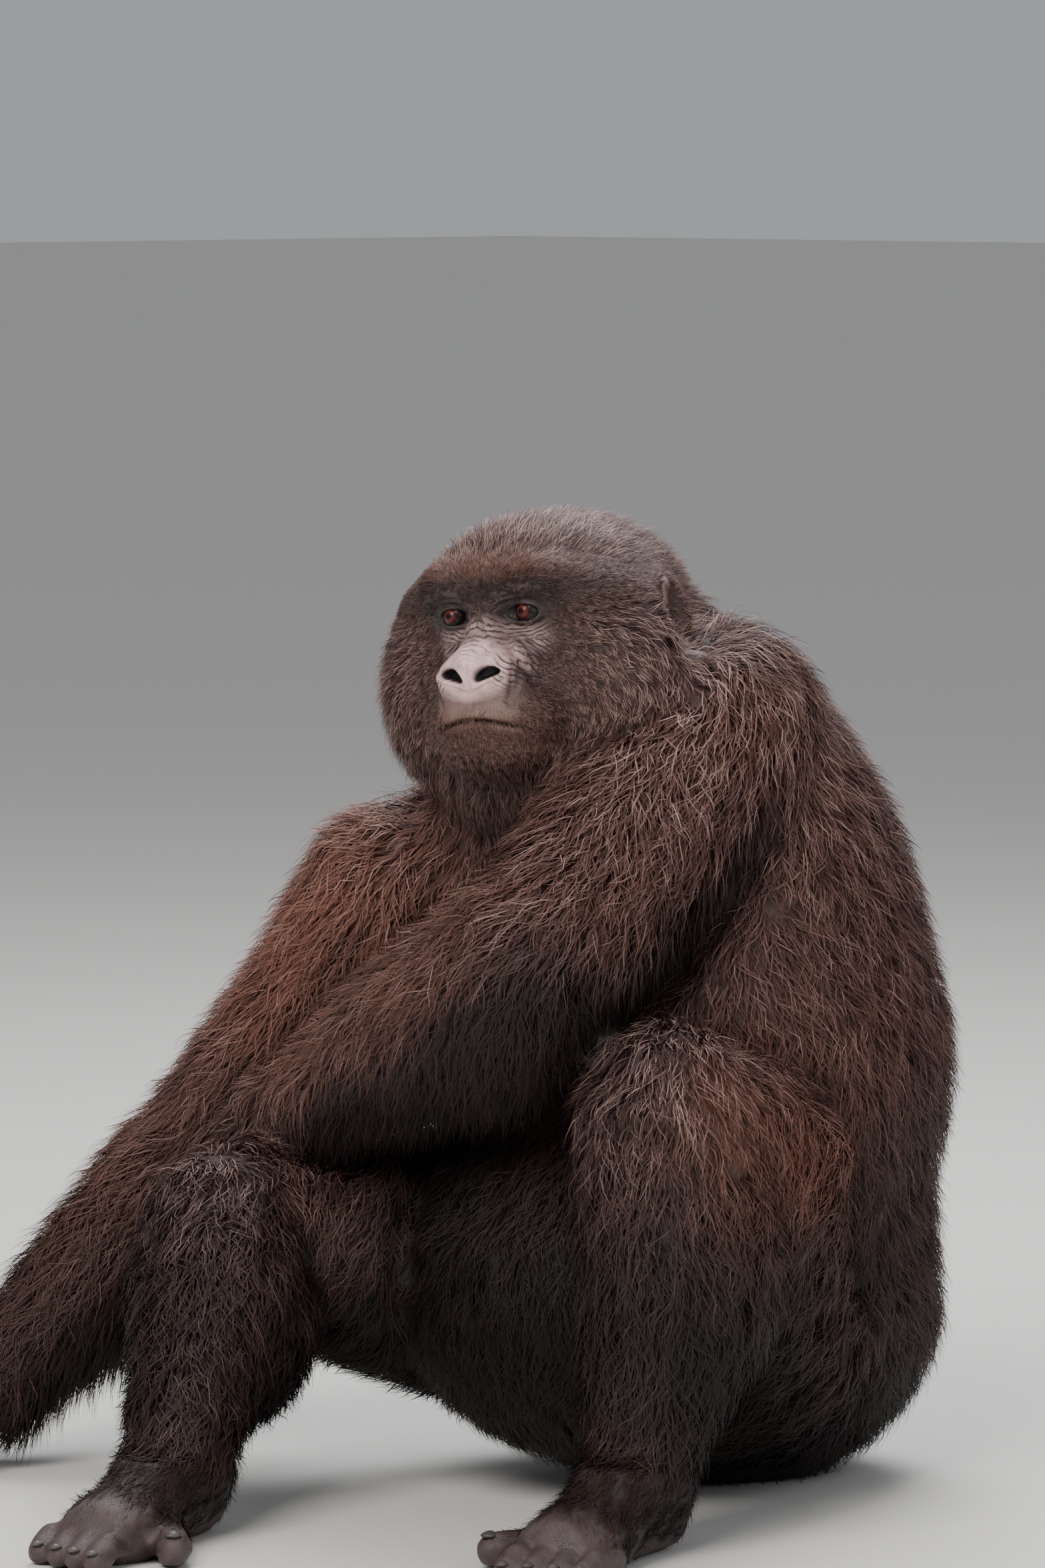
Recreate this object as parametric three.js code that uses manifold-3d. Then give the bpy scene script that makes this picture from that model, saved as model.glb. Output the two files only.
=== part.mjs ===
// A seated mountain gorilla, life size, leaning on its right arm.
// Millimetres, +Z up. The animal faces -Y and its own left side is +X.
// Every surface is the outside of the coat. Each body part is a distance field made of tapered
// limbs and eggs, and a base geometry is pushed out from its own core until it lies on that field.

import * as THREE from 'three';
import { mergeVertices } from 'three/addons/utils/BufferGeometryUtils.js';
import Module from 'manifold-3d';

const wasm = await Module();
wasm.setup();

// ---------------------------------------------------------------- driving dimensions

const GAP = 0.35; // clearance between neighbouring solids
const FLOOR = 0;
const SURFACE_REACH = 560; // farthest that any surface lies from its own core

const at = (x, y, z) => new THREE.Vector3(x, y, z);

// Joint centres of the pose, named for the animal's own left and right.
const JOINTS = {
  shoulderLeft: at(152, 88, 672),
  elbowLeft: at(179, -154, 490),
  wristLeft: at(-109, -160, 346),
  shoulderRight: at(-116, -30, 512),
  elbowRight: at(-313, -101, 260),
  wristRight: at(-384, -298, 60),
  hipLeft: at(198, 85, 138),
  kneeLeft: at(303, -128, 368),
  ankleLeft: at(312, -166, 84),
  hipRight: at(8, 93, 132),
  kneeRight: at(-138, -223, 234),
  ankleRight: at(-18, -392, 78),
  head: at(30, 2, 772),
};

// Radii over the coat.
const SHOULDER_LEFT_R = 104;
const SHOULDER_RIGHT_R = 88;
const ELBOW_LEFT_R = 84;
const ELBOW_RIGHT_R = 74;
const FOREARM_R = 66;
const WRIST_R = 47;
const HIP_R = 122;
const KNEE_R = 85;
const CALF_R = 88;
const ANKLE_R = 54;

// Trunk masses: centre and half-sizes.
const TRUNK_CORE = at(92, 130, 380);
const RUMP = { centre: at(100, 178, 160), half: at(196, 172, 174) };
const BELLY = { centre: at(72, 52, 196), half: at(226, 218, 182) };
const LOINS = { centre: at(100, 142, 372), half: at(220, 212, 205) };
const CHEST = { centre: at(60, 128, 528), half: at(222, 178, 188) };
const CHEST_TURN = THREE.MathUtils.degToRad(20);
const NAPE = { low: at(70, 140, 610), high: at(40, 60, 730), lowR: 140, highR: 108 };
const YOKE_R = { nape: 120, left: 84, right: 68 }; // trapezius from the nape to each shoulder
const LOIN_CUT_Z = 408;
const PELVIS_TURN = THREE.MathUtils.degToRad(-15);
const PELVIS_CUT = at(90, 130, 0);

// Head, in its own frame: origin midway between the ears, facing -Y.
const HEAD_PITCH = THREE.MathUtils.degToRad(-3.5);
const HEAD_ROLL = THREE.MathUtils.degToRad(-5.5);
const HEAD_YAW = THREE.MathUtils.degToRad(16.5);
const HEAD_CORE = at(0, -38, -22);
const EYE_R = 13;
const EYE_X = 36;
const EYE_Y = -99;
const EYE_Z = -1;
const EAR = { x: 116, y: -8, z: -4, half: at(12, 20, 29), splay: 0.55 };

// Masses of the head: centre, then half-sizes.
const CRANIUM = [0, 24, 0, 118, 128, 86];
const CROWN_BACK = [0, 50, 26, 82, 88, 60];
const FOREHEAD = [0, -30, 28, 86, 76, 54];
const CHEEK_COAT = [84, -18, -64, 72, 70, 98];
const FACE = [0, -38, -50, 98, 68, 88];
const BEARD = [0, -28, -124, 100, 70, 80];
const UPPER_LIP = [0, -103, -90, 60, 43, 34];
const NOSE = [0, -131, -51, 25, 24, 20];
const NOSTRIL_WING = [23, -127, -57, 18, 21, 18];
const CHIN = [0, -96, -119, 52, 42, 27];
const BRIDGE = { top: [0, -100, 12], bottom: [0, -126, -40], topR: 15, bottomR: 17 };
const BROW = { x: 48, y: -101, z: 25, r: 17, outer: [86, -60, 6], outerR: 20 };

// Hollows of the head: centre, then half-sizes.
const SOCKET = [EYE_X + 1, EYE_Y - 17, EYE_Z, 20, 12, 12];
const NOSTRIL = [15, -152, -53, 11, 9, 5];
const MOUTH = [0, -146, -98, 44, 16, 2.5];
const EAR_POCKET = [138, EAR.y, EAR.z, 26, 27, 36];
const EAR_BOWL = { centre: at(9, -6, 2), half: at(6, 11, 18) };

// Hands, feet and nails.
const PALM = { length: 92, halfWidth: 43, halfLength: 57, halfThickness: 21, wristR: 34, middle: 0.52 };
const KNUCKLE_LINE = 0.78; // share of the palm's length at which the fingers start
const FINGER = { proximal: 48, middle: 32, distal: 20, r: 14, spread: 23, rootSpread: 0.8 };
const FINGER_SHORTENING = { longest: 1.4, perFinger: 0.1 };
const THUMB = { root: 0.3, across: 34, proximal: 27, distal: 27, r: 13.5, out: 17, drop: 5 };
const FOOT = { length: 250, halfWidth: 50, heelR: 39, heelBack: 45, ball: 0.66, toeLine: 0.74, arch: 0.5 };
const BALL = { height: 24, halfLength: 50, halfHeight: 27 };
const TOE = { length: 46, r: 13.5, spread: 21, first: 1.1, height: 18, recede: 6, bend: 0.62 };
const HALLUX = { length: 64, r: 18, splay: 0.6, out: 30 };
const PRESSED = 2; // how far a soft pad is flattened by the floor
const NAIL = { half: at(7.5, 8.5, 3.4), lift: 0.82, ahead: 0.35 };
const LEFT_HAND = {
  ahead: at(-0.863, 0.014, -0.505),
  palmar: at(0.42, -0.53, -0.74),
  bends: [0.46, 0.36, 0.3],
};
const RIGHT_HAND = {
  ahead: at(-0.29, -0.84, -0.46),
  palmar: at(0, 0, -1),
  bends: [-0.46, 0, 0.06],
};
const LEFT_FOOT_HEADING = at(0.24, -0.97, 0);
const RIGHT_FOOT_HEADING = at(0.31, -0.95, 0);

// Flesh that fills out the limbs: centres are offsets from a point part way along the limb.
const CALF_LEFT = { along: 0.45, offset: at(4, 34, 0), half: at(CALF_R, CALF_R, 132) };
const CALF_RIGHT = { along: 0.42, offset: at(-6, 22, -8), half: at(CALF_R, CALF_R, 104) };
const ELBOW_FRINGE = { along: 0.2, offset: at(0, 0, -46), half: at(82, 52, 58) };
const FOREARM_BULK = 0.6; // length of the forearm that keeps its full thickness
const THIGH_LEFT = { centre: at(271, -1, 300), half: at(100, 106, 106) };
const THIGH_RIGHT = { centre: at(-60, -60, 222), half: at(98, 102, 106) };

// How far neighbouring masses melt into each other.
const SOFT = {
  trunk: 70,
  limb: 30,
  skull: 28,
  mane: 26,
  foot: 24,
  face: 18,
  muzzle: 16,
  palm: 14,
  brow: 10,
  hollows: 7,
  ear: 3,
};

const SKIN = { color: 0x2b2725, roughness: 0.7, metalness: 0 };
const COAT = { color: 0x2a211c, roughness: 0.9, metalness: 0 };
const EYE = { color: 0x5a3014, roughness: 0.15, metalness: 0 };
const NAIL_HORN = { color: 0x332c28, roughness: 0.45, metalness: 0 };

const TRUNK_DETAIL = 6;
const HEAD_DETAIL = 7;
const SMALL_DETAIL = 2;
const FACE_FOCUS = 0.42; // 0 spreads the head's triangles evenly, towards 1 crowds them on the face
const LIMB_SEGMENTS = { cap: 2, radial: 12, rows: 5 };
const NAIL_SEGMENTS = [6, 3];
const PALM_SEGMENTS = { cap: 2, radial: 10, rows: 2 };
const SOLE_SEGMENTS = { cap: 2, radial: 12, rows: 4 };
const DIGIT_TAPER = 0.93;
const DIGIT_SEGMENTS = { cap: 2, radial: 6 };

// ---------------------------------------------------------------- fields

/** Signed distance of a limb that tapers from radius ra at a to rb at b. */
function taper(a, b, ra, rb) {
  const axis = b.clone().sub(a);
  const lengthSq = axis.lengthSq();
  const foot = new THREE.Vector3();
  return (p) => {
    const t = THREE.MathUtils.clamp(foot.copy(p).sub(a).dot(axis) / lengthSq, 0, 1);
    foot.copy(a).addScaledVector(axis, t);
    return p.distanceTo(foot) - THREE.MathUtils.lerp(ra, rb, t);
  };
}

/** Near-distance of an egg with half-sizes along axes that are turned by a quaternion. */
function egg(centre, half, turn = new THREE.Quaternion()) {
  const back = turn.clone().invert();
  const q = new THREE.Vector3();
  return (p) => {
    q.copy(p).sub(centre).applyQuaternion(back);
    const near = Math.hypot(q.x / half.x, q.y / half.y, q.z / half.z);
    const steep = Math.hypot(q.x / half.x ** 2, q.y / half.y ** 2, q.z / half.z ** 2);
    return steep < 1e-9 ? -Math.min(half.x, half.y, half.z) : (near * (near - 1)) / steep;
  };
}

/** Joins fields with a fillet of the given softness. */
function blend(softness, ...fields) {
  return (p) => fields.map((field) => field(p)).reduce((a, b) => {
    const h = Math.max(softness - Math.abs(a - b), 0) / softness;
    return Math.min(a, b) - (h * h * softness) / 4;
  });
}

/** Takes the second field out of the first with a soft edge. */
function hollow(softness, body, ...tools) {
  return (p) => tools.map((tool) => -tool(p)).reduce((a, b) => {
    const h = Math.max(softness - Math.abs(a - b), 0) / softness;
    return Math.max(a, b) + (h * h * softness) / 4;
  }, body(p));
}

// ---------------------------------------------------------------- solids

/** Distance from a core point, along a direction, to where the field reaches the offset. */
function reach(field, core, direction, offset) {
  const STEP = 5;
  const p = new THREE.Vector3();
  let inner = 0;
  while (inner < SURFACE_REACH
    && field(p.copy(core).addScaledVector(direction, inner + STEP)) < offset) inner += STEP;
  let outer = inner + STEP;
  for (let halving = 0; halving < 18; halving += 1) {
    const middle = (inner + outer) / 2;
    if (field(p.copy(core).addScaledVector(direction, middle)) < offset) inner = middle;
    else outer = middle;
  }
  return outer;
}

/** Makes a manifold solid from a three.js geometry. */
function solidOf(geometry) {
  const bare = geometry.clone();
  bare.deleteAttribute('normal');
  bare.deleteAttribute('uv');
  const merged = mergeVertices(bare, 1e-4);
  const index = merged.index.array;
  const triangles = [];
  for (let i = 0; i < index.length; i += 3) {
    const [a, b, c] = index.slice(i, i + 3);
    if (a !== b && b !== c && c !== a) triangles.push(a, b, c);
  }
  return new wasm.Manifold(new wasm.Mesh({
    numProp: 3,
    vertProperties: new Float32Array(merged.attributes.position.array),
    triVerts: new Uint32Array(triangles),
  }));
}

/** Pushes each vertex of a base geometry from its own core point out to the field. */
function wrap(geometry, coreOf, field, offset) {
  const bare = geometry.clone();
  bare.deleteAttribute('normal');
  bare.deleteAttribute('uv');
  const merged = mergeVertices(bare, 1e-4);
  const position = merged.attributes.position;
  const vertex = new THREE.Vector3();
  for (let i = 0; i < position.count; i += 1) {
    vertex.fromBufferAttribute(position, i);
    const { core, direction } = coreOf(vertex);
    vertex.copy(core).addScaledVector(direction, reach(field, core, direction, offset));
    position.setXYZ(i, vertex.x, vertex.y, vertex.z);
  }
  return solidOf(merged);
}

/** A round mass around one core point. Its triangles crowd towards the focus vector. */
function mass(core, field, detail, offset, focus = at(0, 0, 0)) {
  const base = new THREE.IcosahedronGeometry(1, detail);
  const coreOf = (v) => ({ core, direction: v.clone().normalize().add(focus).normalize() });
  return wrap(base, coreOf, field, offset);
}

/** A limb around the line from a to b. */
function limb(a, b, field, segments, offset) {
  const length = a.distanceTo(b);
  const half = length / 2;
  const middle = a.clone().lerp(b, 0.5);
  const turn = new THREE.Quaternion().setFromUnitVectors(at(0, 1, 0), b.clone().sub(a).normalize());
  const base = new THREE.CapsuleGeometry(1, length, segments.cap, segments.radial, segments.rows);
  const coreOf = (v) => {
    const core = at(0, THREE.MathUtils.clamp(v.y, -half, half), 0);
    const direction = v.clone().sub(core).normalize().applyQuaternion(turn);
    return { core: core.applyQuaternion(turn).add(middle), direction };
  };
  return wrap(base, coreOf, field, offset);
}

/** A bent tube with round ends along a few points, tapering from the first radius to the last. */
function bentLimb(points, radii, segments) {
  const spans = points.length - 1;
  const base = new THREE.CapsuleGeometry(1, 1, segments.cap, segments.radial, spans);
  base.deleteAttribute('normal');
  base.deleteAttribute('uv');
  const merged = mergeVertices(base, 1e-4);
  const turns = [];
  let heading = at(0, 1, 0);
  let turn = new THREE.Quaternion();
  points.forEach((point, i) => {
    const into = i > 0 ? along(points[i - 1], point) : along(point, points[1]);
    const out = i < spans ? along(point, points[i + 1]) : into;
    const tangent = into.clone().add(out).normalize();
    turn = new THREE.Quaternion().setFromUnitVectors(heading, tangent).multiply(turn);
    heading = tangent;
    turns.push(turn);
  });
  const position = merged.attributes.position;
  const vertex = new THREE.Vector3();
  for (let i = 0; i < position.count; i += 1) {
    vertex.fromBufferAttribute(position, i);
    const height = THREE.MathUtils.clamp(vertex.y, -0.5, 0.5);
    const joint = Math.round((height + 0.5) * spans);
    vertex.y -= height;
    vertex.normalize().multiplyScalar(THREE.MathUtils.lerp(radii[0], radii[1], joint / spans));
    vertex.applyQuaternion(turns[joint]).add(points[joint]);
    position.setXYZ(i, vertex.x, vertex.y, vertex.z);
  }
  return solidOf(merged);
}

/** Keeps the side of a plane that its normal points to. A grown shape reaches past the plane. */
function keep(solid, normal, point, offset) {
  const n = normal.clone().normalize();
  return solid.trimByPlane(n.toArray(), n.dot(point) + GAP / 2 - offset);
}

/** Keeps the largest of the pieces that a cut leaves. */
function largest(solid) {
  return solid.decompose().reduce((a, b) => (b.volume() > a.volume() ? b : a));
}

/** Direction from one point to another. */
function along(a, b) {
  return b.clone().sub(a).normalize();
}

/** Normal of the plane that halves the bend at joint b between a-b and b-c. */
function bisector(a, b, c) {
  return along(a, b).add(along(b, c)).normalize();
}

const parts = [];

/**
 * Adds a node. The solid is cut by every earlier node's grown shape and by the floor.
 * shape(offset) makes the node's whole shape, grown by the offset.
 */
function addNode(name, finish, shape) {
  let solid = shape(0);
  const box = solid.boundingBox();
  for (const earlier of parts) {
    const apart = [0, 1, 2].some((k) => box.max[k] < earlier.box.min[k] || box.min[k] > earlier.box.max[k]);
    if (!apart) solid = solid.subtract(earlier.grown);
  }
  solid = largest(solid.trimByPlane([0, 0, 1], FLOOR));
  const grown = shape(GAP);
  parts.push({ name, finish, solid, grown, box: grown.boundingBox() });
}

// ---------------------------------------------------------------- trunk

const chestTurn = new THREE.Quaternion().setFromAxisAngle(at(0, 0, 1), CHEST_TURN);
const trunkField = blend(
  SOFT.trunk,
  egg(RUMP.centre, RUMP.half),
  egg(BELLY.centre, BELLY.half),
  egg(LOINS.centre, LOINS.half),
  egg(CHEST.centre, CHEST.half, chestTurn),
  taper(NAPE.low, JOINTS.shoulderLeft, YOKE_R.nape, YOKE_R.left),
  taper(NAPE.low, JOINTS.shoulderRight, YOKE_R.nape, YOKE_R.right),
);
const trunkWith = (offset) => mass(TRUNK_CORE, trunkField, TRUNK_DETAIL, offset);
const pelvisForward = at(0, -1, 0).applyAxisAngle(at(0, 0, 1), PELVIS_TURN);
const up = at(0, 0, 1);
const down = at(0, 0, -1);
const loinPoint = at(0, 0, LOIN_CUT_Z);

// ---------------------------------------------------------------- head

const headTurn = new THREE.Quaternion().setFromEuler(
  new THREE.Euler(HEAD_PITCH, HEAD_ROLL, HEAD_YAW, 'ZYX'),
);

/** A point of the head's own frame, in the animal's frame. */
function onHead(x, y, z) {
  return at(x, y, z).applyQuaternion(headTurn).add(JOINTS.head);
}

/** An egg placed and turned with the head. */
function headEgg(x, y, z, hx, hy, hz) {
  return egg(onHead(x, y, z), at(hx, hy, hz), headTurn);
}

/** The same egg on both sides of the head. */
function pairEgg(x, ...rest) {
  return [headEgg(x, ...rest), headEgg(-x, ...rest)];
}

/** A taper between two points of the head's frame. */
function headTaper(from, to, ra, rb) {
  return taper(onHead(...from), onHead(...to), ra, rb);
}

/** Outer end of the brow ridge on one side. */
function browEnd(sign) {
  const [x, y, z] = BROW.outer;
  return headTaper([sign * BROW.x, BROW.y, BROW.z], [sign * x, y, z], BROW.r, BROW.outerR);
}

const skull = blend(
  SOFT.skull,
  headEgg(...CRANIUM),
  headEgg(...CROWN_BACK),
  headEgg(...FOREHEAD),
  ...pairEgg(...CHEEK_COAT),
  headEgg(...FACE),
);
const brow = blend(
  SOFT.brow,
  headTaper([-BROW.x, BROW.y, BROW.z], [BROW.x, BROW.y, BROW.z], BROW.r, BROW.r),
  browEnd(1),
  browEnd(-1),
);
const muzzle = blend(
  SOFT.muzzle,
  headEgg(...UPPER_LIP),
  headEgg(...NOSE),
  ...pairEgg(...NOSTRIL_WING),
  headTaper(BRIDGE.top, BRIDGE.bottom, BRIDGE.topR, BRIDGE.bottomR),
  headEgg(...CHIN),
);
const headField = hollow(
  SOFT.hollows,
  blend(SOFT.face, blend(SOFT.mane, skull, headEgg(...BEARD), brow), muzzle),
  ...pairEgg(...EAR_POCKET),
  ...pairEgg(...SOCKET),
  ...pairEgg(...NOSTRIL),
  headEgg(...MOUTH),
);
const headCore = onHead(...HEAD_CORE.toArray());
const faceFocus = at(0, -FACE_FOCUS, 0).applyQuaternion(headTurn);

// ---------------------------------------------------------------- ears and eyes

for (const [side, sign] of [['left', 1], ['right', -1]]) {
  const centre = onHead(sign * EYE_X, EYE_Y, EYE_Z);
  const ball = (p) => p.distanceTo(centre) - EYE_R;
  addNode(`eye_${side}`, EYE, (offset) => mass(centre, ball, SMALL_DETAIL, offset));
}

for (const [side, sign] of [['left', 1], ['right', -1]]) {
  const splay = new THREE.Quaternion().setFromAxisAngle(at(0, 0, 1), sign * EAR.splay);
  const turn = headTurn.clone().multiply(splay);
  const centre = onHead(sign * EAR.x, EAR.y, EAR.z);
  const bowl = EAR_BOWL.centre.clone().multiply(at(sign, 1, 1)).applyQuaternion(turn).add(centre);
  const field = hollow(SOFT.ear, egg(centre, EAR.half, turn), egg(bowl, EAR_BOWL.half, turn));
  addNode(`ear_${side}`, SKIN, (offset) => mass(centre, field, SMALL_DETAIL, offset));
}

const loinsDown = (offset) => keep(trunkWith(offset), down, loinPoint, offset);
const pelvisBack = pelvisForward.clone().negate();
addNode('chest', COAT, (offset) => keep(trunkWith(offset), up, loinPoint, offset));
addNode('belly', COAT, (offset) => keep(loinsDown(offset), pelvisForward, PELVIS_CUT, offset));
addNode('rump', COAT, (offset) => keep(loinsDown(offset), pelvisBack, PELVIS_CUT, offset));
addNode('head', COAT, (offset) => mass(headCore, headField, HEAD_DETAIL, offset, faceFocus));
addNode('neck', COAT, (offset) => limb(
  NAPE.low,
  NAPE.high,
  taper(NAPE.low, NAPE.high, NAPE.lowR, NAPE.highR),
  LIMB_SEGMENTS,
  offset,
));

// ---------------------------------------------------------------- digits, hands and feet

/** Right-handed axes of a hand or foot: ahead along it, back out of its upper side, across it. */
function limbAxes(ahead, backward) {
  const a = ahead.clone().normalize();
  const b = backward.clone().addScaledVector(a, -backward.dot(a)).normalize();
  return { ahead: a, back: b, across: a.clone().cross(b) };
}

/** A point given along, across and off a hand or foot. */
function placeOn(origin, axes, ahead, across, back) {
  return origin.clone()
    .addScaledVector(axes.ahead, ahead)
    .addScaledVector(axes.across, across)
    .addScaledVector(axes.back, back);
}

/** A finger or toe along its joints. */
function digit(points, r, offset) {
  return bentLimb(points, [r + offset, r * DIGIT_TAPER + offset], DIGIT_SEGMENTS);
}

/** Adds the nail that covers the upper end of a digit. */
function addNail(name, tip, ahead, limbAcross, r) {
  const axes = limbAxes(ahead, limbAcross.clone().cross(ahead));
  const turn = new THREE.Quaternion().setFromRotationMatrix(
    new THREE.Matrix4().makeBasis(axes.across.clone().negate(), axes.ahead, axes.back),
  );
  const centre = placeOn(tip, axes, r * NAIL.ahead, 0, r * NAIL.lift);
  const half = NAIL.half.clone().multiplyScalar(r / FINGER.r);
  const base = new THREE.SphereGeometry(1, ...NAIL_SEGMENTS);
  const coreOf = (v) => ({ core: centre, direction: v.clone().normalize() });
  addNode(name, NAIL_HORN, (offset) => wrap(base, coreOf, egg(centre, half, turn), offset));
}

/**
 * Adds a hand and its nails.
 * palmar points out of the palm; bends are the finger joints' angles; thumbSide is +1 or -1 across.
 */
function addHand(side, wrist, elbow, { ahead, palmar, bends }, thumbSide) {
  const axes = limbAxes(ahead, palmar.clone().negate());
  const knuckles = placeOn(wrist, axes, PALM.length, 0, 0);
  const palmTurn = new THREE.Quaternion().setFromRotationMatrix(
    new THREE.Matrix4().makeBasis(axes.across.clone().negate(), axes.ahead, axes.back),
  );
  const palmCentre = wrist.clone().lerp(knuckles, PALM.middle);
  const palmField = blend(
    SOFT.palm,
    egg(palmCentre, at(PALM.halfWidth, PALM.halfLength, PALM.halfThickness), palmTurn),
    taper(wrist, palmCentre, PALM.wristR, PALM.halfThickness),
  );
  const digits = [];
  for (let finger = 0; finger < 4; finger += 1) {
    const place = (finger - 1.5) * FINGER.spread;
    const shorter = 1 - FINGER_SHORTENING.perFinger * Math.abs(finger - FINGER_SHORTENING.longest);
    const points = [placeOn(wrist, axes, PALM.length * KNUCKLE_LINE, place * FINGER.rootSpread, 0)];
    const lengths = [PALM.length * (1 - KNUCKLE_LINE), FINGER.proximal, FINGER.middle, FINGER.distal];
    lengths.forEach((length, i) => {
      const angle = bends.slice(0, i).reduce((a, b) => a + b, 0);
      const step = axes.ahead.clone().multiplyScalar(Math.cos(angle))
        .addScaledVector(axes.back, -Math.sin(angle));
      points.push(points[i].clone().addScaledVector(step, i > 0 ? length * shorter : length));
    });
    digits.push({ points, r: FINGER.r });
  }
  const thumbRoot = placeOn(wrist, axes, PALM.length * THUMB.root, thumbSide * THUMB.across, -THUMB.drop);
  const thumbMiddle = placeOn(thumbRoot, axes, THUMB.proximal, thumbSide * THUMB.out, -THUMB.drop);
  const thumbTip = placeOn(thumbMiddle, axes, THUMB.distal, 0, -THUMB.drop);
  digits.push({ points: [thumbRoot, thumbMiddle, thumbTip], r: THUMB.r });
  const cut = bisector(elbow, wrist, knuckles);
  addNode(`hand_${side}`, SKIN, (offset) => keep(
    wasm.Manifold.union([
      limb(wrist, knuckles, palmField, PALM_SEGMENTS, offset),
      ...digits.map(({ points, r }) => digit(points, r, offset)),
    ]),
    cut,
    wrist,
    offset,
  ));
  digits.forEach(({ points, r }, i) => {
    const [before, tip] = points.slice(-2);
    addNail(`nail_hand_${side}_${i + 1}`, tip, along(before, tip), axes.across, r * DIGIT_TAPER);
  });
}

/** Adds a foot that lies flat on the floor, and its nails. medialSide is +1 or -1 across. */
function addFoot(side, ankle, heading, medialSide) {
  const axes = limbAxes(heading, up);
  const onFloor = ankle.clone().setZ(FLOOR);
  const place = (ahead, across, height) => placeOn(onFloor, axes, ahead - FOOT.heelBack, across, height);
  const heel = place(FOOT.heelR - PRESSED, 0, FOOT.heelR - PRESSED);
  const ball = place(FOOT.length * FOOT.ball, 0, BALL.height);
  const flat = new THREE.Quaternion().setFromRotationMatrix(
    new THREE.Matrix4().makeBasis(axes.across.clone().negate(), axes.ahead, axes.back),
  );
  const bodyField = blend(
    SOFT.foot,
    taper(heel, ball, FOOT.heelR, BALL.halfHeight),
    taper(ankle, ball, ANKLE_R, BALL.height),
    egg(ball, at(FOOT.halfWidth, BALL.halfLength, BALL.halfHeight), flat),
  );
  const digits = [];
  for (let toe = 0; toe < 4; toe += 1) {
    const across = -medialSide * (toe - TOE.first) * TOE.spread;
    const start = FOOT.length * FOOT.toeLine - TOE.recede * toe;
    const root = place(start, across, TOE.height);
    const bend = place(start + TOE.length * TOE.bend, across, TOE.height + PRESSED);
    const tip = place(start + TOE.length, across, TOE.r - PRESSED);
    digits.push({ points: [root, bend, tip], r: TOE.r });
  }
  const halluxRoot = place(FOOT.length * FOOT.arch, medialSide * HALLUX.out, HALLUX.r + PRESSED);
  const halluxStep = axes.ahead.clone().multiplyScalar(Math.cos(HALLUX.splay))
    .addScaledVector(axes.across, medialSide * Math.sin(HALLUX.splay));
  const halluxTip = halluxRoot.clone()
    .addScaledVector(halluxStep, HALLUX.length)
    .setZ(HALLUX.r - PRESSED);
  digits.push({ points: [halluxRoot, halluxTip], r: HALLUX.r });
  addNode(`foot_${side}`, SKIN, (offset) => keep(
    wasm.Manifold.union([
      limb(heel, ball, bodyField, SOLE_SEGMENTS, offset),
      ...digits.map(({ points, r }) => digit(points, r, offset)),
    ]),
    down,
    ankle,
    offset,
  ));
  digits.forEach(({ points, r }, i) => {
    const [before, tip] = points.slice(-2);
    addNail(`nail_foot_${side}_${i + 1}`, tip, along(before, tip), axes.across, r * DIGIT_TAPER);
  });
}

// ---------------------------------------------------------------- limbs

/** Adds the upper and lower lengths of a limb, parted by planes at its joints. */
function addLimb(names, root, middle, end, radii, extras) {
  const bend = bisector(root, middle, end);
  const upperField = blend(SOFT.limb, taper(root, middle, radii[0], radii[1]), ...extras.upper);
  const lowerField = blend(SOFT.limb, taper(middle, end, radii[2], radii[3]), ...extras.lower);
  addNode(names[0], COAT, (offset) => keep(
    limb(root, middle, upperField, LIMB_SEGMENTS, offset),
    bend.clone().negate(),
    middle,
    offset,
  ));
  addNode(names[1], COAT, (offset) => keep(
    keep(limb(middle, end, lowerField, LIMB_SEGMENTS, offset), bend, middle, offset),
    extras.endCut.clone().negate(),
    end,
    offset,
  ));
}

/** The egg of flesh at a place along a limb. */
function fleshOn(a, b, { along: share, offset, half }) {
  return egg(a.clone().lerp(b, share).add(offset), half);
}

/** Where the knuckles lie, from the wrist and the hand's heading. */
function knucklesOf(wrist, { ahead }) {
  return wrist.clone().addScaledVector(ahead, PALM.length);
}

/** The stretch of forearm that keeps its full thickness. */
function forearmBulk(elbow, wrist, elbowR) {
  return taper(elbow, elbow.clone().lerp(wrist, FOREARM_BULK), elbowR, FOREARM_R);
}

const J = JOINTS;
const legRadii = [HIP_R, KNEE_R, KNEE_R, ANKLE_R];
const thighLeft = egg(THIGH_LEFT.centre, THIGH_LEFT.half);

addLimb(['thigh_left', 'shin_left'], J.hipLeft, J.kneeLeft, J.ankleLeft, legRadii, {
  upper: [thighLeft],
  lower: [thighLeft, fleshOn(J.kneeLeft, J.ankleLeft, CALF_LEFT)],
  endCut: down,
});
addFoot('left', J.ankleLeft, LEFT_FOOT_HEADING, 1);

addLimb(['thigh_right', 'shin_right'], J.hipRight, J.kneeRight, J.ankleRight, legRadii, {
  upper: [egg(THIGH_RIGHT.centre, THIGH_RIGHT.half)],
  lower: [fleshOn(J.kneeRight, J.ankleRight, CALF_RIGHT)],
  endCut: down,
});
addFoot('right', J.ankleRight, RIGHT_FOOT_HEADING, -1);

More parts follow.
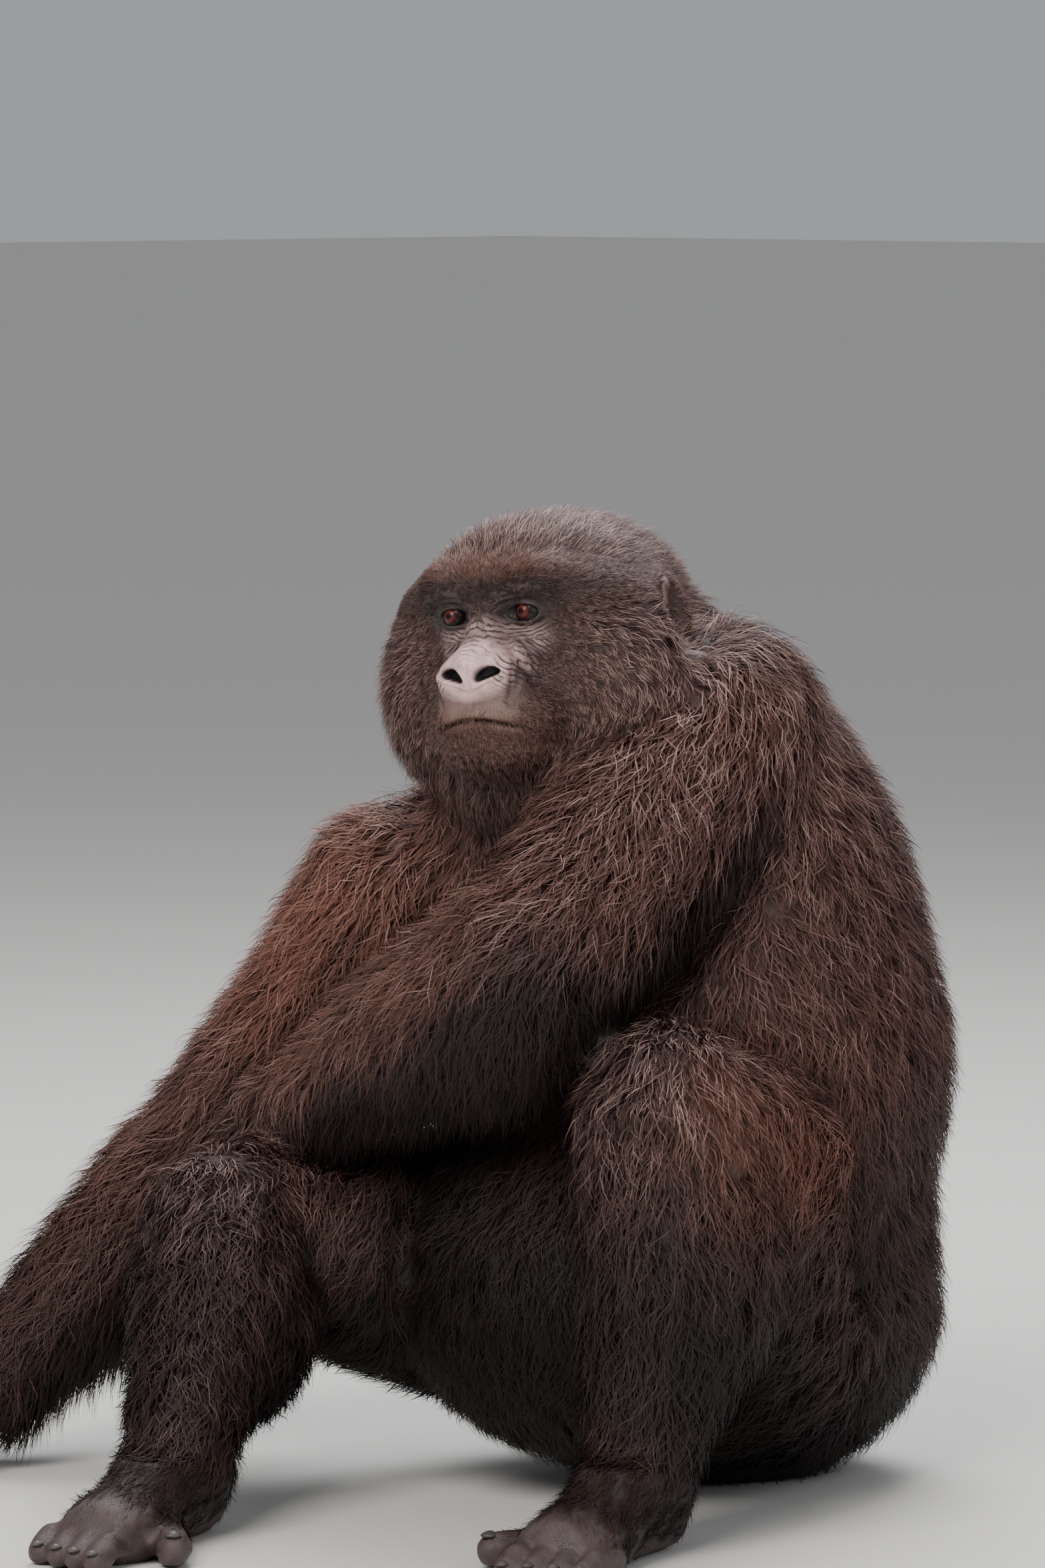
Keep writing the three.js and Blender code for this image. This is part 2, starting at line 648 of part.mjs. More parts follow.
const armRadiiLeft = [SHOULDER_LEFT_R, ELBOW_LEFT_R, ELBOW_LEFT_R, WRIST_R];
addLimb(['upper_arm_left', 'forearm_left'], J.shoulderLeft, J.elbowLeft, J.wristLeft, armRadiiLeft, {
  upper: [],
  lower: [
    fleshOn(J.elbowLeft, J.wristLeft, ELBOW_FRINGE),
    forearmBulk(J.elbowLeft, J.wristLeft, ELBOW_LEFT_R),
  ],
  endCut: bisector(J.elbowLeft, J.wristLeft, knucklesOf(J.wristLeft, LEFT_HAND)),
});
addHand('left', J.wristLeft, J.elbowLeft, LEFT_HAND, 1);

const armRadiiRight = [SHOULDER_RIGHT_R, ELBOW_RIGHT_R, ELBOW_RIGHT_R, WRIST_R];
addLimb(['upper_arm_right', 'forearm_right'], J.shoulderRight, J.elbowRight, J.wristRight, armRadiiRight, {
  upper: [],
  lower: [forearmBulk(J.elbowRight, J.wristRight, ELBOW_RIGHT_R)],
  endCut: bisector(J.elbowRight, J.wristRight, knucklesOf(J.wristRight, RIGHT_HAND)),
});
addHand('right', J.wristRight, J.elbowRight, RIGHT_HAND, -1);

// ---------------------------------------------------------------- scene

/** A BufferGeometry with the vertices and triangles of a manifold solid. */
function geometryOf(solid) {
  const mesh = solid.getMesh();
  const geometry = new THREE.BufferGeometry();
  geometry.setAttribute('position', new THREE.BufferAttribute(mesh.vertProperties, 3));
  geometry.setIndex(new THREE.BufferAttribute(mesh.triVerts, 1));
  geometry.computeVertexNormals();
  return geometry;
}

const gorilla = new THREE.Group();
for (const { name, finish, solid } of parts) {
  const material = new THREE.MeshStandardMaterial(finish);
  const mesh = new THREE.Mesh(geometryOf(solid), material);
  mesh.name = name;
  gorilla.add(mesh);
}

// The origin is the middle of the underside of the whole animal's box.
const box = new THREE.Box3().setFromObject(gorilla);
const centre = box.getCenter(at(0, 0, 0));
gorilla.position.set(-centre.x, -centre.y, -box.min.z);

export default gorilla;
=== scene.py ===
"""Seated mountain gorilla: one skin with its face, a combed coat of tufts, the eyes and the nails.

Everything is in metres in the frame's axes: +Z up, the animal faces -Y and its left side is +X.
The head is shaped in its own frame, in millimetres: origin about midway between the ears, facing -Y.
"""

import logging
import math
from dataclasses import dataclass, field
from enum import Enum
from typing import Callable

import bmesh
import bpy
import numpy as np
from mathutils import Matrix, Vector
from mathutils.bvhtree import BVHTree


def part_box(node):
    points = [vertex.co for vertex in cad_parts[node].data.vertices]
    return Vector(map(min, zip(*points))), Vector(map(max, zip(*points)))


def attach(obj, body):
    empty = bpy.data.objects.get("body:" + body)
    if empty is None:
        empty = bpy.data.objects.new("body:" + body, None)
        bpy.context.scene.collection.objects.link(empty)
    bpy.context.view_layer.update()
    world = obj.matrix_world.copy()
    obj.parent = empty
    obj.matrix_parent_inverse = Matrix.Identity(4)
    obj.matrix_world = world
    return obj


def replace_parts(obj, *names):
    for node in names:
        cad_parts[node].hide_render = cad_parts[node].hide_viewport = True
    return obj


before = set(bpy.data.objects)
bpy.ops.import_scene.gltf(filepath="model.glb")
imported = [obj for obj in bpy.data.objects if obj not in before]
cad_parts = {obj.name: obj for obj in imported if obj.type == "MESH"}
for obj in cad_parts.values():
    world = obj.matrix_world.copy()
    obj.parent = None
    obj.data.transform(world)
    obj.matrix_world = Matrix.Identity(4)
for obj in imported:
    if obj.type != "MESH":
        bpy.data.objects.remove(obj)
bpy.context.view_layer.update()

LOG = logging.getLogger("gorilla")
MM = 0.001
SIDES = ("left", "right")


def both(*limbs: str) -> tuple:
    """Names the left and right node of each limb."""
    return tuple(f"{limb}_{side}" for limb in limbs for side in SIDES)


HEAD_PARTS = ("head", *both("ear"))
TRUNK_PARTS = ("head", "neck", "chest", "belly", "rump")
END_PARTS = both("hand", "foot")
FLESH = TRUNK_PARTS + both("upper_arm", "forearm", "thigh", "shin", "ear") + END_PARTS
PART_ID = {name: number for number, name in enumerate(FLESH)}
JOINTS = (  # joint, the part that it moves, the part that it hangs on
    ("shoulder", "upper_arm", "chest"), ("elbow", "forearm", "upper_arm"), ("wrist", "hand", "forearm"),
    ("hip", "thigh", "belly"), ("knee", "shin", "thigh"), ("ankle", "foot", "shin"),
)
BONES = (  # part, from joint, to joint, how much its hair hangs
    ("upper_arm", "shoulder", "elbow", 0.5), ("forearm", "elbow", "wrist", 0.75),
    ("thigh", "hip", "knee", 1.4), ("shin", "knee", "ankle", 0.6),
)
DOWN = np.array([0.0, 0.0, -1.0])


# ---------------------------------------------------------------- small mathematics


def smoothstep(low: float, high: float, x: np.ndarray | float) -> np.ndarray | float:
    """Rises smoothly from 0 at low to 1 at high."""
    t = np.clip((x - low) / (high - low), 0.0, 1.0)
    return t * t * (3.0 - 2.0 * t)


def unit(v: np.ndarray) -> np.ndarray:
    """Scales each row to length 1."""
    return v / np.maximum(np.linalg.norm(v, axis=-1, keepdims=True), 1e-12)


def dot(a: np.ndarray, b: np.ndarray) -> np.ndarray:
    """Multiplies two arrays of directions row by row."""
    return (a * b).sum(axis=1)


def groove(distance: np.ndarray, width: float) -> np.ndarray:
    """Depth profile, from 1 on a line to 0 away from it."""
    return np.exp(-((distance / width) ** 2))


def box_of(name: str) -> tuple[np.ndarray, np.ndarray]:
    """Gives the lowest and highest corner of a node, in metres."""
    low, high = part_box(name)
    return np.array(low), np.array(high)


def folded(q: np.ndarray) -> np.ndarray:
    """Folds both sides of the head onto its left."""
    return np.column_stack([np.abs(q[:, 0]), q[:, 1:]])


def join(softness: float, *fields: np.ndarray) -> np.ndarray:
    """Joins signed distances with a fillet.

    Args:
        softness: How far the forms melt into each other, in the fields' units.
        fields: Distances of the same points to each form.

    Returns:
        The distance to the joined form.
    """
    result = fields[0]
    for other in fields[1:]:
        h = np.maximum(softness - np.abs(result - other), 0.0) / softness
        result = np.minimum(result, other) - h * h * softness / 4.0
    return result


def cut(softness: float, body: np.ndarray, tool: np.ndarray) -> np.ndarray:
    """Takes a form out of a body with a soft edge: the join of their outsides, turned inside out."""
    return -join(softness, -body, tool)


def egg(q: np.ndarray, centre: tuple, half: tuple) -> np.ndarray:
    """Measures to the surface of an egg.

    Args:
        q: The points.
        centre: The egg's middle.
        half: Its half-sizes along the axes.

    Returns:
        The near-distance, negative inside.
    """
    p = q - np.array(centre, float)
    size = np.array(half, float)
    near = np.linalg.norm(p / size, axis=-1)
    steep = np.linalg.norm(p / size**2, axis=-1)
    return near * (near - 1.0) / np.maximum(steep, 1e-9)


def twin_egg(q: np.ndarray, centre: tuple, half: tuple) -> np.ndarray:
    """Measures to the same egg on both sides of the head."""
    return egg(folded(q), centre, half)


def taper(q: np.ndarray, a: tuple, b: tuple, ra: float, rb: float) -> np.ndarray:
    """Measures to a roll with rounded ends.

    Args:
        q: The points.
        a: One end's middle.
        b: The other end's middle.
        ra: Radius at a.
        rb: Radius at b.

    Returns:
        The distance, negative inside.
    """
    start, axis = np.array(a, float), np.array(b, float) - np.array(a, float)
    t = np.clip(((q - start) @ axis) / (axis @ axis), 0.0, 1.0)
    return np.linalg.norm(q - start - t[:, None] * axis, axis=-1) - (ra + (rb - ra) * t)


def slope_of(form: Callable, q: np.ndarray, reach: float) -> tuple[np.ndarray, np.ndarray]:
    """Measures a form and how steeply its distance changes.

    Args:
        form: Gives the signed distance of points.
        q: The points.
        reach: How far the steps along the axes go.

    Returns:
        The distances, and their slopes along the axes.
    """
    value = form(q)
    return value, np.stack([(form(q + reach * axis) - value) / reach for axis in np.eye(3)], axis=1)


# ---------------------------------------------------------------- meshes and arrays


def read_points(mesh: bpy.types.Mesh) -> np.ndarray:
    """Reads a mesh's points.

    Args:
        mesh: The mesh.

    Returns:
        One row for each point.
    """
    points = np.empty(len(mesh.vertices) * 3)
    mesh.vertices.foreach_get("co", points)
    return points.reshape(-1, 3)


def write_points(mesh: bpy.types.Mesh, points: np.ndarray) -> None:
    """Moves a mesh's points."""
    mesh.vertices.foreach_set("co", np.ascontiguousarray(points, np.float32).ravel())
    mesh.update()


def read_values(mesh: bpy.types.Mesh, name: str) -> np.ndarray:
    """Reads one number per point from a mesh.

    Args:
        mesh: The mesh.
        name: The attribute's name.

    Returns:
        The numbers.
    """
    values = np.empty(len(mesh.vertices), np.float32)
    mesh.attributes[name].data.foreach_get("value", values)
    return values.astype(float)


def write_values(mesh: bpy.types.Mesh, name: str, values: np.ndarray) -> None:
    """Keeps one number per point on a mesh."""
    layer = mesh.attributes.new(name, "FLOAT", "POINT")
    layer.data.foreach_set("value", np.ascontiguousarray(values, np.float32))


def tree_of(mesh: bpy.types.Mesh) -> BVHTree:
    """Makes a search tree of a mesh's faces."""
    return BVHTree.FromPolygons([v.co for v in mesh.vertices], [tuple(p.vertices) for p in mesh.polygons])


def taken(shape: bmesh.types.BMesh, mesh: bpy.types.Mesh) -> bpy.types.Mesh:
    """Empties a shape into a mesh.

    Args:
        shape: The edited shape, which is freed.
        mesh: The mesh that takes it.

    Returns:
        The mesh.
    """
    shape.to_mesh(mesh)
    shape.free()
    return mesh


def opened(mesh: bpy.types.Mesh) -> bmesh.types.BMesh:
    """Opens a mesh for editing.

    Args:
        mesh: The mesh, which stays as it is.

    Returns:
        Its shape.
    """
    shape = bmesh.new()
    shape.from_mesh(mesh)
    return shape


def merged_copy(names: tuple, growth: float = 0.0) -> bpy.types.Mesh:
    """Copies nodes into one mesh with their loose triangles merged.

    Args:
        names: The nodes to copy.
        growth: How far each is swollen, so that neighbours reach into each other.

    Returns:
        The joined mesh.
    """
    whole = bmesh.new()
    for name in names:
        part = opened(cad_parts[name].data)
        bmesh.ops.remove_doubles(part, verts=part.verts, dist=1e-5)
        part.normal_update()
        for vert, normal in [(v, v.normal.copy()) for v in part.verts]:
            vert.co += normal * growth
        copy = taken(part, bpy.data.meshes.new(name + "_copy"))
        whole.from_mesh(copy)
        bpy.data.meshes.remove(copy)
    return taken(whole, bpy.data.meshes.new("joined"))


def applied(mesh: bpy.types.Mesh, name: str, kind: str, **settings: object) -> bpy.types.Mesh:
    """Runs one modifier over a mesh.

    Args:
        mesh: The mesh to work on.
        name: The result's name.
        kind: The modifier's type.
        settings: The modifier's properties.

    Returns:
        The result as a mesh.
    """
    holder = bpy.data.objects.new(name, mesh)
    bpy.context.scene.collection.objects.link(holder)
    modifier = holder.modifiers.new(kind.title(), kind)
    for key, value in settings.items():
        setattr(modifier, key, value)
    bpy.context.view_layer.update()
    graph = bpy.context.evaluated_depsgraph_get()
    result = bpy.data.meshes.new_from_object(holder.evaluated_get(graph))
    bpy.data.objects.remove(holder)
    return result


def meeting(part: str, other: str, reach: float = 0.004) -> np.ndarray:
    """Finds the centre of the place where two nodes of flesh touch.

    Args:
        part: The node whose points are looked at.
        other: The node that they are near to.
        reach: How near a point counts as touching, in metres.

    Returns:
        The centre of the touching points, in metres.
    """
    tree = tree_of(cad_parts[other].data)
    near = [v.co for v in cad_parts[part].data.vertices if tree.find_nearest(v.co, reach)[0] is not None]
    return np.array(near).mean(axis=0)


@dataclass
class Surface:
    """A mesh surface held as arrays, for smoothing fields over it and walking on it."""

    points: np.ndarray
    triangles: np.ndarray
    ring: np.ndarray
    ring_size: np.ndarray
    normals: np.ndarray | None = None

    @classmethod
    def from_mesh(cls, mesh: bpy.types.Mesh) -> "Surface":
        """Reads a mesh into arrays.

        Args:
            mesh: The mesh to read.

        Returns:
            The surface, with each point's ring of neighbours padded with the point itself.
        """
        count = len(mesh.vertices)
        mesh.calc_loop_triangles()
        triangles = np.empty(len(mesh.loop_triangles) * 3, np.int32)
        mesh.loop_triangles.foreach_get("vertices", triangles)
        edges = np.empty(len(mesh.edges) * 2, np.int32)
        mesh.edges.foreach_get("vertices", edges)
        edges = edges.reshape(-1, 2)
        source = np.concatenate([edges[:, 0], edges[:, 1]])
        target = np.concatenate([edges[:, 1], edges[:, 0]])
        order = np.argsort(source, kind="stable")
        source, target = source[order], target[order]
        ring_size = np.bincount(source, minlength=count)
        first = np.concatenate([[0], np.cumsum(ring_size)[:-1]])
        place = np.arange(len(source)) - first[source]
        ring = np.repeat(np.arange(count)[:, None], ring_size.max(), axis=1)
        ring[source, place] = target
        surface = cls(read_points(mesh), triangles.reshape(-1, 3), ring, ring_size)
        surface.refresh()
        return surface

    def refresh(self) -> None:
        """Works out the normals again after points moved."""
        a, b, c = (self.points[self.triangles[:, k]] for k in range(3))
        faces = np.cross(b - a, c - a)
        total = np.zeros_like(self.points)
        for k in range(3):
            for axis in range(3):
                total[:, axis] += np.bincount(self.triangles[:, k], faces[:, axis], len(total))
        self.normals = unit(total)

    def mean(self, values: np.ndarray) -> np.ndarray:
        """Averages a field over each point's ring.

        Args:
            values: A number or a vector for each point.

        Returns:
            The averages.
        """
        shape = (-1,) + (1,) * (values.ndim - 1)
        size = self.ring_size.reshape(shape)
        padding = self.ring.shape[1] - size
        return (values[self.ring].sum(axis=1) - padding * values) / size

    def spread(self, values: np.ndarray, rounds: int) -> np.ndarray:
        """Smooths a field over the surface.

        Args:
            values: A number or a vector for each point.
            rounds: How often the field is averaged.

        Returns:
            The smoother field.
        """
        for _ in range(rounds):
            values = 0.5 * values + 0.5 * self.mean(values)
        return values

    def fair(self, rounds: int, amount: np.ndarray) -> None:
        """Smooths the shape without shrinking it.

        Args:
            rounds: Number of in-and-out passes.
            amount: How much each point takes part, 0 to 1.
        """
        for _ in range(rounds):
            for step in (0.5, -0.53):
                self.points += step * amount[:, None] * (self.mean(self.points) - self.points)
        self.refresh()

    def along(self, vectors: np.ndarray) -> np.ndarray:
        """Takes out of vectors what stands off the surface."""
        return vectors - self.normals * dot(vectors, self.normals)[:, None]

    def nearer(self, here: np.ndarray, points: np.ndarray, hops: int = 3) -> np.ndarray:
        """Steps from ring to ring towards points.

        Args:
            here: Index of the surface point that each walker stands on.
            points: Where each walker wants to be.
            hops: Most steps to take.

        Returns:
            The indices of the surface points nearest to the wanted places.
        """
        rows = np.arange(len(here))
        for _ in range(hops):
            ring = self.ring[here]
            far = ((self.points[ring] - points[:, None, :]) ** 2).sum(axis=2)
            best = far.argmin(axis=1)
            own = ((self.points[here] - points) ** 2).sum(axis=1)
            here = np.where(far[rows, best] < own, ring[rows, best], here)
        return here


# ---------------------------------------------------------------- the head's form


@dataclass(frozen=True)
class Spot:
    """An oval on both sides of the face, seen from the front, in millimetres."""

    across: float
    up: float
    half_width: float
    half_height: float

    def away(self, q: np.ndarray) -> np.ndarray:
        """Measures from the oval's middle, where 1 is its edge."""
        across, up = np.abs(q[:, 0]) - self.across, q[:, 2] - self.up
        return np.hypot(across / self.half_width, up / self.half_height)


@dataclass
class HeadForm:
    """The head's shape as distance fields, in millimetres in its own frame."""

    eye: tuple = (36.0, -99.0, -1.0)
    eye_radius: float = 13.0
    lid_thickness: float = 1.7
    opening: tuple = (18.4, 10.5, 7.6)
    socket: tuple = (21, 12, 12)
    ear: tuple = (116.0, -8.0, -4.0)
    ear_splay: float = 0.55
    ear_hollow: tuple = ((138, -8, -4), (26, 27, 36))
    skull: tuple = (
        ((0, 24, 0), (118, 128, 86)),
        ((0, 50, 26), (82, 88, 60)),
        ((0, -30, 28), (86, 76, 54)),
        ((84, -18, -64), (72, 70, 98)),
        ((-84, -18, -64), (72, 70, 98)),
        ((0, -38, -50), (98, 68, 88)),
    )
    brow: tuple = (
        ((-48, -101, 25), (48, -101, 25), 17, 17),
        ((48, -101, 25), (86, -60, 6), 17, 20),
        ((-48, -101, 25), (-86, -60, 6), 17, 20),
    )
    beard: tuple = ((0, -28, -124), (100, 70, 80))
    mouth: tuple = ((0, -106, -91), (65, 44, 34))
    nose_tip: tuple = ((0, -131, -51), (25, 24, 20))
    nose_wing: tuple = ((23, -127, -57), (18, 21, 18))
    nose_bridge: tuple = ((0, -100, 12), (0, -126, -40), 15, 17)
    chin: tuple = ((0, -96, -119), (52, 42, 27))
    mouth_line: float = -93.5
    nostril_place: tuple = (16.5, -53.0)
    nostril_half: tuple = (13.2, 5.9)
    nostril_slant: float = 0.3
    bare_spots: tuple = (
        Spot(36, 3, 25, 17),  # lids
        Spot(33, -22, 24, 18),  # under the eyes
        Spot(0, -26, 26, 23),  # bridge
        Spot(0, -54, 42, 25),  # nose
        Spot(0, -68, 47, 16),  # beside the nose
        Spot(0, -81, 44, 15),  # above the lip
    )
    # painted sheen on the bare face: bridge, lip, cheeks and wings of the nose
    sheen_spots: tuple = (  # where, how light, where it ends and where it is full
        (Spot(0, -26, 24, 24), 0.42, 1.3, 0.6),  # bridge
        (Spot(0, -78, 46, 15), 0.10, 1.4, 0.5),  # lip
        (Spot(30, -26, 26, 18), 0.36, 1.4, 0.5),  # cheeks
        (Spot(0, -56, 50, 20), 0.34, 1.3, 0.7),  # wings of the nose
    )
    lids: Spot = Spot(36, 2, 17, 12)
    lid_folds: tuple = ((1.50, 0.10, -1.3), (1.95, 0.12, -1.1), (1.25, 0.16, 0.8), (1.72, 0.16, 0.9))
    origin: np.ndarray = field(init=False)
    axes: np.ndarray = field(init=False)

    def __post_init__(self) -> None:
        """Places the head by its eyes and ears in the frame."""
        middle = {name: sum(box_of(name)) / 2.0 for name in both("eye", "ear")}
        eyes = (middle["eye_left"] + middle["eye_right"]) / 2.0
        ears = (middle["ear_left"] + middle["ear_right"]) / 2.0
        across = unit(middle["ear_left"] - middle["ear_right"])
        look = unit(eyes - ears - across * np.dot(eyes - ears, across))
        lifted = np.cross(across, -look)
        tilt = math.atan2(self.eye[2] - self.ear[2], self.ear[1] - self.eye[1])
        back = unit(-look * math.cos(tilt) + lifted * math.sin(tilt))
        self.axes = np.stack([across, back, np.cross(across, back)], axis=1)
        self.origin = eyes - self.axes @ (np.array([0.0, self.eye[1], self.eye[2]]) * MM)

    def inward(self, points: np.ndarray) -> np.ndarray:
        """Turns points of the frame into the head's millimetres."""
        return (points - self.origin) @ self.axes / MM

    def outward(self, q: np.ndarray) -> np.ndarray:
        """Turns points of the head into the frame's metres."""
        return q * MM @ self.axes.T + self.origin

    def turn(self, vectors: np.ndarray) -> np.ndarray:
        """Turns directions of the head into the frame's."""
        return vectors @ self.axes.T

    def from_ear(self, q: np.ndarray) -> np.ndarray:
        """Measures from the middle of the nearer ear."""
        return np.linalg.norm(folded(q) - np.array(self.ear), axis=1)

    def bare_radius(self, q: np.ndarray) -> np.ndarray:
        """Measures how far places are from the bare face.

        Args:
            q: Points of the head.

        Returns:
            Numbers under 1 in the bare face and over 1 in the coat.
        """
        radii = [spot.away(q) for spot in self.bare_spots]
        radii.append(np.hypot(np.maximum(np.abs(q[:, 0]) - 52.0, 0.0) / 8.0, self.cleft(q) / 3.4))
        behind = np.maximum(q[:, 1] + 72.0, 0.0) / 22.0
        return np.minimum.reduce(radii) + behind

    def hair_length(self, q: np.ndarray) -> np.ndarray:
        """Measures the head's hair: velvet by the face, locks on crown and cheeks.

        Args:
            q: Points of the head.

        Returns:
            Lengths in millimetres.
        """
        x, y, z = folded(q).T
        side = 6.0 + 25.0 * smoothstep(1.0, 4.4, self.bare_radius(q))
        crown = 8.0 + 28.0 * np.maximum(smoothstep(38.0, 60.0, z), smoothstep(-60.0, -10.0, y))
        length = side + smoothstep(-5.0, 14.0, z) * (np.minimum(side, crown) - side)
        chin = 5.0 + 18.0 * smoothstep(-120.0, -152.0, z)
        below = smoothstep(-90.0, -104.0, z) * smoothstep(68.0, 48.0, x) * smoothstep(-50.0, -76.0, y)
        length = length + below * (np.minimum(length, chin) - length)
        return length * (0.24 + 0.76 * smoothstep(28.0, 54.0, self.from_ear(q)))

    def coat_depth(self, q: np.ndarray) -> np.ndarray:
        """Depth of the head's coat in millimetres, from nothing on the face to full behind it."""
        full = np.clip(0.44 * (self.hair_length(q) - 5.5), 0.0, 11.5)
        return full * smoothstep(0.9, 1.3, self.bare_radius(q))

    def forms(self, q: np.ndarray) -> np.ndarray:
        """Measures to the head without its hollows, out to the tips of the coat.

        Args:
            q: Points of the head.

        Returns:
            Distances, negative inside.
        """
        skull = join(28.0, *(egg(q, *form) for form in self.skull))
        brow = join(10.0, *(taper(q, *roll) for roll in self.brow))
        nose = egg(q, *self.nose_tip), twin_egg(q, *self.nose_wing), taper(q, *self.nose_bridge)
        muzzle = join(16.0, egg(q, *self.mouth), *nose, egg(q, *self.chin))
        mane = join(26.0, skull, egg(q, *self.beard), brow)
        return join(18.0, mane, muzzle)

    def ears(self, q: np.ndarray) -> np.ndarray:
        """Measures to the two ears: a thin shell with a rolled rim and a bowl.

        Args:
            q: Points of the head.

        Returns:
            Distances, negative inside.
        """
        x, y, z = (folded(q) - np.array(self.ear)).T
        c, s = math.cos(self.ear_splay), math.sin(self.ear_splay)
        local = np.stack([c * x + s * y, -s * x + c * y, z], axis=1)
        around = np.hypot(local[:, 1] / 15.0, local[:, 2] / 23.0)
        rim = np.hypot((around - 1.0) * 17.0, local[:, 0] - 4.0) - 4.4
        shell = egg(local, (0, 0, 0), (9, 18, 27))
        bowl = egg(local, (9, -3, 1), (8, 11, 17))
        lobe = egg(local, (3, -8, -21), (5, 8, 9))
        tragus = egg(local, (6, -15, -3), (5, 4, 7))
        return join(3.0, cut(2.5, join(4.0, shell, rim), bowl), lobe, tragus)

    def with_ears(self, form: np.ndarray, q: np.ndarray) -> np.ndarray:
        """Sets the ears in their hollows in a form."""
        return join(4.0, cut(7.0, form, twin_egg(q, *self.ear_hollow)), self.ears(q))

    def outline(self, q: np.ndarray) -> np.ndarray:
        """Distance to the head out to the tips of the coat, with its ears."""
        return self.with_ears(self.forms(q), q)

    def flesh(self, q: np.ndarray) -> np.ndarray:
        """Measures to the skin of the head with its lids and ears, before its folds are carved.

        Args:
            q: Points of the head.

        Returns:
            Distances, negative inside.
        """
        x, y, z = self.eye
        form = cut(7.0, self.forms(q) + self.coat_depth(q), twin_egg(q, (x + 1, y - 17, z), self.socket))
        form = join(4.5, form, twin_egg(q, self.eye, (self.eye_radius + self.lid_thickness,) * 3))
        form = cut(1.2, form, twin_egg(q, (x - 2.0, y - 14, z - 1.1), self.opening))
        return self.with_ears(form, q)

    def nostril(self, q: np.ndarray) -> np.ndarray:
        """Measures from the middle of the slanted nostril.

        Args:
            q: Points of the head.

        Returns:
            Numbers that are 1 at its rim.
        """
        x, z = np.abs(q[:, 0]) - self.nostril_place[0], q[:, 2] - self.nostril_place[1]
        c, s = math.cos(self.nostril_slant), math.sin(self.nostril_slant)
        across, rise = c * x + s * z, -s * x + c * z
        return np.hypot(across / self.nostril_half[0], (rise + 0.02 * across * across) / self.nostril_half[1])

    def cleft(self, q: np.ndarray) -> np.ndarray:
        """Height above the line of the closed mouth, which dips towards its corners."""
        x = np.abs(q[:, 0])
        return q[:, 2] - self.mouth_line + 7.0 * smoothstep(4.0, 46.0, x) + 3.5 * smoothstep(40.0, 58.0, x)

    def lid_place(self, q: np.ndarray) -> tuple[np.ndarray, np.ndarray, np.ndarray]:
        """Places points round the nearer eye.

        Args:
            q: Points of the head.

        Returns:
            How far across and up they are, and how far from its middle, where 1 is the lids' edge.
        """
        u = (np.abs(q[:, 0]) - self.eye[0] + 2.0) / 15.6
        v = (q[:, 2] - self.eye[2] + 1.1) / 8.1
        return u, v, np.hypot(u, v)

    def hollow(self, q: np.ndarray) -> np.ndarray:
        """Marks the painted shade inside the nostrils, in the corners of the eyes and along the line of the
        mouth.

        Args:
            q: Points of the head.

        Returns:
            Numbers from 0 to 1.
        """
        nose = smoothstep(1.02, 0.82, self.nostril(q))
        line = 0.9 * groove(self.cleft(q), 1.3) * smoothstep(66.0, 58.0, np.abs(q[:, 0]))
        corner = 0.85 * smoothstep(1.02, 0.88, self.lid_place(q)[2])
        return np.maximum.reduce([nose, line, corner]) * (q[:, 1] < -84.0)

    def carve(self, points: np.ndarray, normals: np.ndarray) -> np.ndarray:
        """Raises the folds and sinks the nostrils and the mouth.

        Args:
            points: Points on the head's skin, in the frame's metres.
            normals: Their outward directions.

        Returns:
            The moved points.
        """
        q = self.inward(points)
        sunk = 12.0 * smoothstep(1.08, 0.45, self.nostril(q))
        sunk = sunk + 6.0 * groove(self.cleft(q), 1.5) * smoothstep(66.0, 54.0, np.abs(q[:, 0]))
        sunk = sunk * (q[:, 1] < -90.0)
        inward = self.turn(np.array([[0.0, 1.0, 0.15]]))[0] * MM
        return points + normals * (self.relief(q) * MM)[:, None] + sunk[:, None] * inward

    def round_nose(self, q: np.ndarray, slack: float) -> tuple[np.ndarray, np.ndarray]:
        """Follows the folds beside the wings of the nose.

        Args:
            q: Points of the head.
            slack: How much further up and down the folds run.

        Returns:
            The distance from the nose's middle, and how far the folds reach there, 0 to 1.
        """
        x, z = np.abs(q[:, 0]), q[:, 2]
        reach = smoothstep(-85.0 - slack, -74.0, z) * smoothstep(-13.0 + slack, -28.0, z)
        return np.hypot(x, (z + 56.0) * 0.95), reach * smoothstep(16.0, 27.0, x)

    def pale(self, q: np.ndarray) -> np.ndarray:
        """Lays out the painted sheen on the bare skin: strongest on the nose, none on the lids and socket.

        Args:
            q: Points of the head.

        Returns:
            Numbers from 0 to 1.
        """
        pad = np.hypot(q[:, 0] / 38.0, (q[:, 2] + 51.0) / np.where(q[:, 2] > -51.0, 28.0, 23.0))
        tones = [light * smoothstep(end, full, spot.away(q)) for spot, light, end, full in self.sheen_spots]
        tones += [smoothstep(1.35, 0.72, pad), 0.16 * smoothstep(34.0, 26.0, self.from_ear(q))]
        beside, reach = self.round_nose(q, 1.0)
        # painted shade in the folds beside the wings of the nose takes the sheen away
        fold = reach * (0.95 * groove(beside - 38.5, 2.2) + 0.8 * groove(beside - 45.0, 1.9))
        lids = smoothstep(1.6, 1.1, self.lids.away(q))
        return np.maximum.reduce(tones) * (1.0 - 0.84 * lids) * (1.0 - fold)

